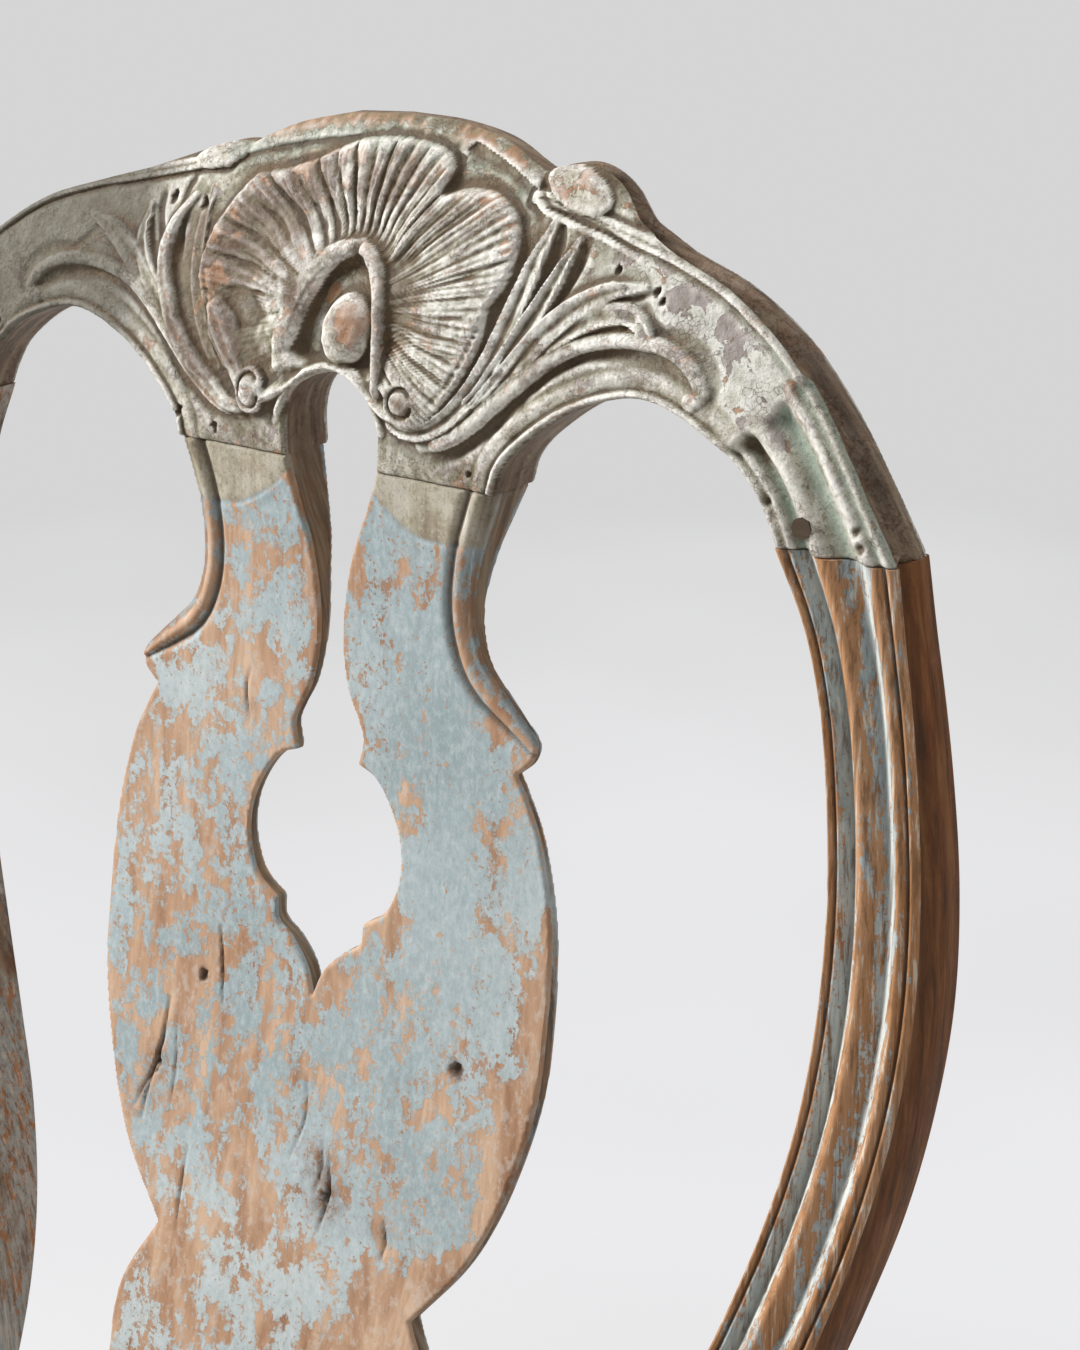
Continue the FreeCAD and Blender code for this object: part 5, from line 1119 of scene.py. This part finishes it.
def cream_paint(n):
    """Colour of the thick paint on the crest and on the splat's necks: cream, beige and grey-green."""
    tone = n.noise(n.place(), 55, 6, 0.62, 0.3)
    cream = n.ramp(tone, (0.34, rgb(120, 104, 84)), (0.43, rgb(158, 152, 132)), (0.52, rgb(190, 184, 166)),
                   (0.64, rgb(220, 217, 208)))
    fine = n.noise(n.place(), 420, 5, 0.75)
    cream = n.mix(n.ramp(fine, (0.5, 0.0), (0.66, 0.55)), cream, rgb(232, 230, 222))
    pits = n.noise(n.place(), 900, 3, 0.7)
    pits = n.times(n.ramp(pits, (0.38, 1.0), (0.46, 0.0)), n.ramp(tone, (0.4, 0.9), (0.62, 0.35)))
    return n.mix(pits, cream, rgb(96, 78, 56)), fine


def brown_side(n, colour, side, dark, middle, light):
    """Browns the sides, and only in patches where the value of the side is low."""
    stain = n.noise(n.place((0.1, 1, 0.1)), 240, 6, 0.66, 0.3)
    patches = n.noise(n.place((1, 1, 0.5)), 30, 8, 0.7, 0.4)
    share = n.plus(n.times(side, 0.62), n.minus(patches, 0.5))
    brown = n.ramp(stain, (0.36, dark), (0.5, middle), (0.64, light))
    return n.mix(n.ramp(share, (0.26, 0.0), (0.38, 0.9)), colour, brown)


def worn_edges(n):
    """How sharply the surface turns, where paint wears off first."""
    eased = n.add("ShaderNodeBevel", {"Radius": 0.004}, samples=4).outputs[0]
    true = n.add("ShaderNodeNewGeometry").outputs["Normal"]
    turn = n.add("ShaderNodeVectorMath", {0: eased, 1: true}, operation="DOT_PRODUCT").outputs["Value"]
    return n.ramp(turn, (0.8, 1.0), (0.99, 0.0))


def blue_coat(n, chalk, long):
    """Colour of the pale blue-grey paint, chalky in places, with a painted highlight along the stiles' coves.
    """
    tone = n.noise(n.place(), 9, 3)
    colour = n.ramp(tone, (0.35, rgb(143, 157, 160)), (0.5, rgb(158, 171, 174)), (0.66, rgb(178, 186, 186)))
    colour = n.mix(n.ramp(chalk, (0.46, 0.0), (0.72, 0.5)), colour, rgb(202, 206, 206))
    colour = n.mix(n.ramp(chalk, (0.3, 0.5), (0.46, 0.0)), colour, rgb(138, 145, 143))
    # Painted highlight in the stiles' coves
    gleam = n.times(n.field("cove_tint_and_gleam"), n.ramp(long, (0.4, 0.25), (0.56, 1.0)))
    return n.mix(n.times(gleam, 0.85), colour, rgb(232, 232, 222))


def worn_paint(name, grain, edges=False):
    """Pale blue-grey paint that is scraped back to pine, with browned sides, cream necks, painted shade in
    its grooves and painted highlights in the stiles' coves.
    """
    n = Nodes(name)

    def stretched(amount):
        return tuple(amount if axis == grain else 1 for axis in "XYZ")

    wood, wood_height = bare_wood(n, stretched(0.05))
    along, side = n.field("along"), n.field("side")
    across = n.minus(1.0, along)
    broad = n.noise(n.place(stretched(0.7)), 78, 9, 0.68, 0.25)
    long = n.noise(n.place(stretched(0.08)), 190, 8, 0.72, 0.3)
    flecks = n.noise(n.place(stretched(0.7)), 260, 5, 0.72, 0.1)
    streaks = n.noise(n.place(stretched(0.05)), 520, 4, 0.7, 0.2)
    chalk = n.noise(n.place(stretched(0.6)), 420, 5, 0.75)
    score = n.plus(n.plus(n.times(broad, across), n.times(long, along)), n.times(n.minus(flecks, 0.5), 0.45))
    score = n.minus(score, n.times(worn_edges(n) if edges else n.field("worn"), 0.18))
    score = n.minus(score, n.ramp(n.noise(n.place(), 560, 3, 0.6), (0.58, 0.0), (0.66, 0.14)))
    paint = n.ramp(score, (0.43, 0.0), (0.442, 1.0))
    colour = blue_coat(n, chalk, long)
    colour = n.mix(n.ramp(score, (0.442, 0.35), (0.49, 0.0)), colour, wood)
    wood = n.mix(n.times(along, 0.6), wood, rgb(180, 126, 76))
    wood = n.mix(n.times(n.ramp(flecks, (0.5, 0.0), (0.6, 0.4)), across), wood, rgb(196, 188, 178))
    colour = n.mix(paint, wood, colour)
    stain = n.times(n.field("stain"), n.ramp(flecks, (0.36, 1.0), (0.58, 0.35)), clamp=True)
    colour = n.mix(stain, colour, rgb(112, 78, 54))
    dark, light = n.ramp(streaks, (0.38, 0.65), (0.47, 0.0)), n.ramp(streaks, (0.56, 0.0), (0.64, 0.6))
    colour = n.mix(n.times(along, dark), colour, rgb(112, 82, 56))
    colour = n.mix(n.times(along, light), colour, rgb(222, 218, 206))
    cap = n.ramp(long, (0.38, rgb(126, 114, 92)), (0.6, rgb(172, 162, 142)))
    colour = n.mix(n.field("cap"), colour, n.mix(0.6, cream_paint(n)[0], cap))
    colour = brown_side(n, colour, side, rgb(70, 54, 38), rgb(118, 92, 66), rgb(146, 128, 104))
    colour = n.mix(n.times(along, side, clamp=True), colour, rgb(240, 184, 134), "MULTIPLY")
    # Painted shade in the moulding's fillets, under the post's front lip and in the splat's grooves, cracks
    # and holes
    colour = n.mix(n.times(n.field("deep"), 0.9, clamp=True), colour, rgb(70, 58, 46))
    height = n.plus(n.times(paint, 0.12), n.times(wood_height, 0.45))
    height = n.plus(height, n.times(chalk, 0.3))
    return n.finish(colour, n.ramp(paint, (0.0, 0.62), (1.0, 0.78)), height, 0.0006)


def fine_cracks(n, patches):
    """A net of fine cracks in some patches of the thick paint."""
    cells = n.add("ShaderNodeTexVoronoi", {"Vector": n.place(), "Scale": 480.0}, feature="DISTANCE_TO_EDGE")
    crack = n.plus(cells.outputs["Distance"], n.times(n.minus(n.noise(n.place(), 200, 2), 0.5), 0.3))
    return n.times(n.ramp(crack, (0.0, 1.0), (0.05, 0.0)), n.ramp(patches, (0.5, 0.0), (0.58, 0.7)))


def crest_paint():
    """Thick cream and grey-green paint, flaked and rubbed, waxed dark with painted shade in the carving, and
    with painted highlights on its ridges.
    """
    n = Nodes("crest_paint")
    wood = n.mix(0.75, bare_wood(n, (0.05, 1, 1))[0], rgb(158, 112, 76))
    deep, flaked = n.field("deep"), n.field("flaked")
    cream, fine = cream_paint(n)
    patches = n.noise(n.place(), 70, 7, 0.66, 0.5)
    pale = n.times(n.field("pale"), n.ramp(fine, (0.36, 0.2), (0.5, 0.85)), clamp=True)
    cream = n.mix(pale, cream, rgb(228, 228, 224))
    # Brown wax, and painted shade and shadow on the shell's left lobe and beside the hood
    waxed_and_shaded = n.plus(n.times(n.field("waxed_and_shaded"), 0.36), n.minus(patches, 0.5))
    colour = n.mix(n.ramp(waxed_and_shaded, (0.0, 0.0), (0.26, 0.9)), cream, rgb(106, 82, 64))
    colour = n.mix(n.times(flaked, 0.6, clamp=True), colour, rgb(222, 222, 212))
    violet = n.plus(n.noise(n.place(), 95, 5, 0.6, 0.6), n.times(flaked, 0.16))
    violet = n.ramp(violet, (0.62, 0.0), (0.627, 1.0))
    colour = n.mix(n.times(violet, 0.9), colour, rgb(142, 129, 124))
    bare = n.plus(n.noise(n.place(), 110, 8, 0.7, 0.5), n.times(n.field("worn"), 0.2))
    bare = n.ramp(bare, (0.605, 0.0), (0.63, 1.0))
    colour = n.mix(n.times(bare, 0.9), colour, wood)
    # Olive-grey in the carving's hollows: grey-green paint there, partly painted shade
    colour = n.mix(n.ramp(deep, (0.0, 0.0), (0.1, 0.5)), colour, rgb(132, 130, 104))
    # Grey-green paint in the crest's hollows by the stiles and along its top band
    colour = n.mix(n.times(n.field("cove_tint_and_gleam"), 0.7), colour, rgb(166, 182, 168))
    # Painted highlight: near-white on the carving's raised ridges, less where waxed
    light = n.times(n.field("crown"), n.ramp(waxed_and_shaded, (0.0, 1.0), (0.3, 0.35)))
    light = n.times(light, n.ramp(fine, (0.32, 0.3), (0.52, 1.0)))
    colour = n.mix(n.times(light, 0.92), colour, rgb(250, 246, 238))
    crack = fine_cracks(n, patches)
    colour = n.mix(n.times(crack, 0.6), colour, rgb(84, 68, 50))
    # Painted shade over the crest's left end
    colour = n.mix(n.times(n.field("left_end_shade"), 0.86), colour, rgb(92, 86, 71))
    colour = brown_side(n, colour, n.field("side"), rgb(78, 58, 40), rgb(122, 96, 74), rgb(152, 134, 108))
    # Dark wax with painted shade in the carving's recesses and holes
    wax_and_shade = n.plus(deep, n.times(n.minus(fine, 0.5), 0.7))
    wax_and_shade_colour = n.ramp(patches, (0.4, rgb(72, 54, 38)), (0.6, rgb(104, 82, 58)))
    colour = n.mix(n.ramp(wax_and_shade, (0.12, 0.0), (0.46, 0.85)), colour, wax_and_shade_colour)
    height = n.times(n.noise(n.place(), 230, 6, 0.72, 0.3), 1.5)
    for part, depth in ((fine, 0.8), (crack, -0.4), (bare, -0.35), (violet, -0.4)):
        height = n.plus(height, n.times(part, depth))
    return n.finish(colour, n.ramp(fine, (0.3, 0.42), (0.7, 0.7)), height, 0.0009)


def plain_wood(name, tint):
    """Bare or stained wood of the hidden pieces."""
    n = Nodes(name)
    colour, height = bare_wood(n, (0.06, 1, 1))
    colour = n.mix(1.0, colour, tint, "MULTIPLY")
    return n.finish(colour, n.ramp(height, (0.2, 0.6), (0.6, 0.75)), height, 0.0004)


def cloth(name, light, dark, scale):
    """Plain woven cloth: two sets of threads over and under each other."""
    n = Nodes(name)
    threads = []
    for direction in ("X", "Y"):
        wave = n.add("ShaderNodeTexWave", {"Vector": n.place(), "Scale": scale, "Distortion": 0.6,
                                           "Detail": 1.0, "Detail Scale": 2.0}, bands_direction=direction)
        threads.append(wave.outputs["Fac"])
    weave = n.times(threads[0], threads[1])
    slub = n.noise(n.place((1, 0.1, 1)), 300, 3)
    value = n.plus(n.times(weave, 0.6), n.times(slub, 0.5))
    colour = n.ramp(value, (0.2, dark), (0.75, light))
    return n.finish(colour, n.ramp(weave, (0.0, 0.95), (1.0, 0.85)), weave, 0.0004, 0.15)


def iron():
    """Blued iron of the tacks."""
    n = Nodes("tack_iron")
    speck = n.noise(n.place(), 900, 3)
    n.shader.inputs["Metallic"].default_value = 1.0
    colour = n.ramp(speck, (0.35, rgb(46, 44, 46)), (0.65, rgb(78, 70, 64)))
    return n.finish(colour, n.ramp(speck, (0.3, 0.4), (0.7, 0.7)), speck, 0.0002, 0.5)


def dress(made, materials):
    """Gives each piece, and each node that stays, the material of its slot, and eases the painted nodes'
    edges.
    """
    slots = {part["node"]: part["material_slot"] for part in frame["record"]["subparts"]}
    for name, node in NODES.items():
        slot = "old_peg" if name == "crest_pegs" else slots[name]
        if slot == "blue_grey_paint":
            low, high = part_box(name)
            lengths = [b - a for a, b in zip(low, high)]
            slot = "painted_" + "xyz"[lengths.index(max(lengths))]
            ease = node.modifiers.new("eased_edges", "BEVEL")
            ease.width, ease.segments = 0.0012, 2
            ease.angle_limit = math.radians(40)
        node.data.materials.clear()
        node.data.materials.append(materials[slot])
    for piece, slot in made:
        piece.data.materials.append(materials[slot])


# Seat

SEAT_POINTS = 176
# Rings of the seat's underside and upright side, which the simulation holds still
TURNED_RINGS, SIDE_RINGS = 3, 6
SEAT_CORNER = 0.016
MOST_PUFF = 0.002
PUFF_FRAMES = 20


def seat_ring(corners, radius, z):
    """A level ring of evenly spaced points round a polygon with rounded corners."""
    path = []
    for i, corner in enumerate(corners):
        to_last = (corners[i - 1] - corner).normalized() * radius
        to_next = (corners[(i + 1) % 4] - corner).normalized() * radius
        for t in np.linspace(0, 1, 9):
            control = (corner + to_last) * (1 - t) ** 2 + corner * 2 * t * (1 - t)
            path.append(control + (corner + to_next) * t * t)
    path.append(path[0])
    points = np.array([tuple(p) for p in path])
    steps = np.concatenate([[0], np.cumsum(np.hypot(*np.diff(points, axis=0).T))])
    at = np.linspace(0, steps[-1], SEAT_POINTS, endpoint=False)
    return np.stack([np.interp(at, steps, points[:, 0]), np.interp(at, steps, points[:, 1]),
                     np.full(SEAT_POINTS, z)], -1)


def cushion():
    """The stuffed seat: its cover is turned in below, rises at the sides and is crowned on top."""
    low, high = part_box("seat_cover")
    frame_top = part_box("seat_frame_front")[1][2]
    rear_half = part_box("seat_frame_rear")[1][0] + 0.0016
    corners = [Vector((-high[0], low[1])), Vector((high[0], low[1])),
               Vector((rear_half, high[1])), Vector((-rear_half, high[1]))]
    middle_y = (low[1] + high[1]) / 2

    def section(inset, z):
        moves = [(-math.copysign(inset, c.x), math.copysign(inset, middle_y - c.y)) for c in corners]
        drawn_in = [corner + Vector(move) for corner, move in zip(corners, moves)]
        return seat_ring(drawn_in, SEAT_CORNER + 0.55 * inset, z)

    side_top = frame_top + 0.006
    crown = high[2] - 0.0022 - side_top
    edge_share = 0.93
    turned_in = ((0.030, 0.0016), (0.012, 0.0010), (0.003, 0.0014))
    rings = [section(inset, low[2] + lift) for inset, lift in turned_in]
    rings += [section(0.0012, z) for z in np.linspace(low[2] + 0.004, side_top, SIDE_RINGS)]
    for t in np.linspace(0, math.pi / 2, 16)[1:]:
        inset = 0.0012 + 0.085 * (1 - math.cos(t)) ** 1.6
        rings.append(section(inset, side_top + edge_share * crown * math.sin(t)))
    centre = np.array([0, middle_y, 0])
    last = rings[-1]
    for k in np.linspace(1, 0.03, 16)[1:]:
        ring = centre + (last - centre) * k
        ring[:, 2] = side_top + crown * (edge_share + (1 - edge_share) * (1 - k ** 2))
        rings.append(ring)
    piece = tube("linen_seat", np.array(rings), {}, body="seat")
    puff(piece)
    smooth_up = piece.modifiers.new("finer", "SUBSURF")
    smooth_up.levels = smooth_up.render_levels = 1
    return piece


def puff(piece):
    """Blows the cover up over its stuffing in a short cloth simulation, and keeps the result."""
    mesh = piece.data
    start = np.array([tuple(v.co) for v in mesh.vertices])
    held = piece.vertex_groups.new(name="held")
    held.add(list(range((TURNED_RINGS + SIDE_RINGS) * SEAT_POINTS)), 1.0, "REPLACE")
    cloth = piece.modifiers.new("cloth", "CLOTH")
    settings = cloth.settings
    settings.quality = 6
    settings.mass = 0.3
    settings.tension_stiffness = settings.compression_stiffness = 25
    settings.bending_stiffness = 2
    settings.use_pressure = True
    settings.uniform_pressure_force = 4
    settings.effector_weights.gravity = 0
    settings.vertex_group_mass = "held"
    scene = bpy.context.scene
    for frame_number in range(1, PUFF_FRAMES + 1):
        scene.frame_set(frame_number)
    shaped = piece.evaluated_get(bpy.context.evaluated_depsgraph_get()).to_mesh()
    end = np.array([tuple(v.co) for v in shaped.vertices])
    piece.modifiers.remove(cloth)
    scene.frame_set(1)
    move = end - start
    far = np.linalg.norm(move, axis=1, keepdims=True)
    move *= np.minimum(1, MOST_PUFF / np.maximum(far, 1e-9))
    mesh.vertices.foreach_set("co", (start + move).ravel())
    mesh.update()


pieces = [
    (crest(), "crest_paint"), (splat(), "blue_grey_paint"),
    (post("right", 1), "blue_grey_paint"), (post("left", -1), "blue_grey_paint"),
]
seat = cushion()
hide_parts("seat_cover", "seat_stuffing")
pieces.append((seat, "linen"))

dress(pieces, {
    "crest_paint": crest_paint(),
    "blue_grey_paint": worn_paint("blue_grey_paint", "Z"),
    "painted_x": worn_paint("blue_grey_paint_along_x", "X", True),
    "painted_y": worn_paint("blue_grey_paint_along_y", "Y", True),
    "painted_z": worn_paint("blue_grey_paint_along_z", "Z", True),
    "peg_wood": plain_wood("peg_wood", rgb(168, 156, 140)),
    "old_peg": plain_wood("old_peg", rgb(112, 114, 110)),
    "bare_pine": plain_wood("bare_pine", rgb(225, 205, 185)),
    "webbing": cloth("webbing", rgb(176, 150, 110), rgb(110, 88, 60), 150.0),
    "canvas": cloth("canvas", rgb(186, 170, 140), rgb(120, 104, 80), 260.0),
    "horsehair": cloth("horsehair", rgb(60, 50, 42), rgb(30, 24, 20), 90.0),
    "linen": cloth("linen", rgb(216, 211, 202), rgb(176, 168, 154), 420.0),
    "tack_iron": iron(),
})


# Room, light and camera

def plain(name, colour):
    """The room's plain pale surface. Seen far off it is a soft backdrop that takes no shadow, its glow
    darkening further off as a painted falloff of light.
    """
    n = Nodes(name)
    cloud = n.noise(n.place(), 0.7, 2)
    dim = tuple(0.93 * v for v in colour)
    n.shader.inputs["Specular IOR Level"].default_value = 0.1
    n.feed(n.shader.inputs["Base Color"], n.ramp(cloud, (0.4, dim), (0.6, colour)))
    n.shader.inputs["Roughness"].default_value = 0.9
    rays = n.add("ShaderNodeLightPath").outputs
    seen = n.math("MAXIMUM", rays["Is Camera Ray"], rays["Is Glossy Ray"])
    place = n.place()
    far = n.add("ShaderNodeVectorMath", {0: place}, operation="LENGTH").outputs["Value"]
    share = n.times(n.ramp(n.times(far, 0.5), (0.35, 0.0), (0.6, 1.0)), seen)
    cloud = n.math("MULTIPLY_ADD", n.noise(place, 1.3, 2, 0.4), 0.14, 0.18)
    # Painted falloff of light: the backdrop darkens further off, with a soft mottle
    mottle_and_falloff = n.math("MULTIPLY_ADD", far, -0.07, cloud)
    tone = n.ramp(mottle_and_falloff, (0.02, rgb(213, 213, 213)), (0.15, rgb(235, 235, 237)))
    glow = n.add("ShaderNodeEmission", {"Color": tone})
    mixed = n.add("ShaderNodeMixShader", {"Fac": share, 1: n.shader.outputs[0], 2: glow.outputs[0]})
    n.feed(n.tree.nodes["Material Output"].inputs["Surface"], mixed.outputs[0])
    return n.material


def room():
    """A pale floor that sweeps up into a wall on every side."""
    turn_radius, reach, height = 1.6, 5.0, 5.0
    profile = [(0.001, 0.0)]
    for a in np.linspace(0, math.pi / 2, 13):
        profile.append((reach - turn_radius + turn_radius * math.sin(a), turn_radius * (1 - math.cos(a))))
    profile.append((reach, height))
    angles = np.linspace(0, 2 * math.pi, 72, endpoint=False)
    rings = np.array([[(r * math.cos(a), r * math.sin(a), z) for a in angles] for r, z in profile])
    index, quads = ring_faces(*rings.shape[:2])
    faces = [face[::-1] for face in quads] + [index[0].tolist()]
    floor = linked("floor", smooth_mesh("floor", rings.reshape(-1, 3), faces))
    floor.data.materials.append(plain("pale_wall", rgb(222, 221, 220)))


def lamp(name, place, target, size, power):
    """A soft square lamp that shines at a point."""
    light = bpy.data.lights.new(name, "AREA")
    light.size = size
    light.energy = power
    lit = linked(name, light)
    lit.location = place
    lit.rotation_euler = (Vector(target) - Vector(place)).to_track_quat("-Z", "Y").to_euler()


def lights():
    """A large window-like lamp at the left, and pale light all round."""
    world = bpy.data.worlds.new("soft_light")
    world.use_nodes = True
    shade = world.node_tree.nodes["Background"]
    shade.inputs["Color"].default_value = (*rgb(240, 241, 243), 1)
    shade.inputs["Strength"].default_value = 0.42
    bpy.context.scene.world = world
    lamp("window", (-2.2, -1.1, 2.2), (0, 0.1, 0.8), 0.9, 125)
    lamp("ceiling", (0.3, 0.6, 3.2), (0, 0.1, 0.6), 2.4, 24)


def camera():
    """The photograph's viewpoint, worked out from its picture of 1080 by 1350 pixels."""
    focal_pixels, picture_height, sensor = 2840, 1350, 36.0
    data = bpy.data.cameras.new("photo_view")
    data.sensor_width = sensor
    data.lens = focal_pixels / picture_height * sensor
    data.clip_end = 50
    seen = linked("photo_view", data)
    seen.location = (0.605, -0.4944, 1.116)
    pitch, yaw = math.radians(18.95), math.radians(35.9)
    seen.rotation_euler = (math.pi / 2 - pitch, 0, yaw)
    bpy.context.scene.camera = seen


room()
lights()
camera()
bpy.context.scene.view_settings.view_transform = "Standard"
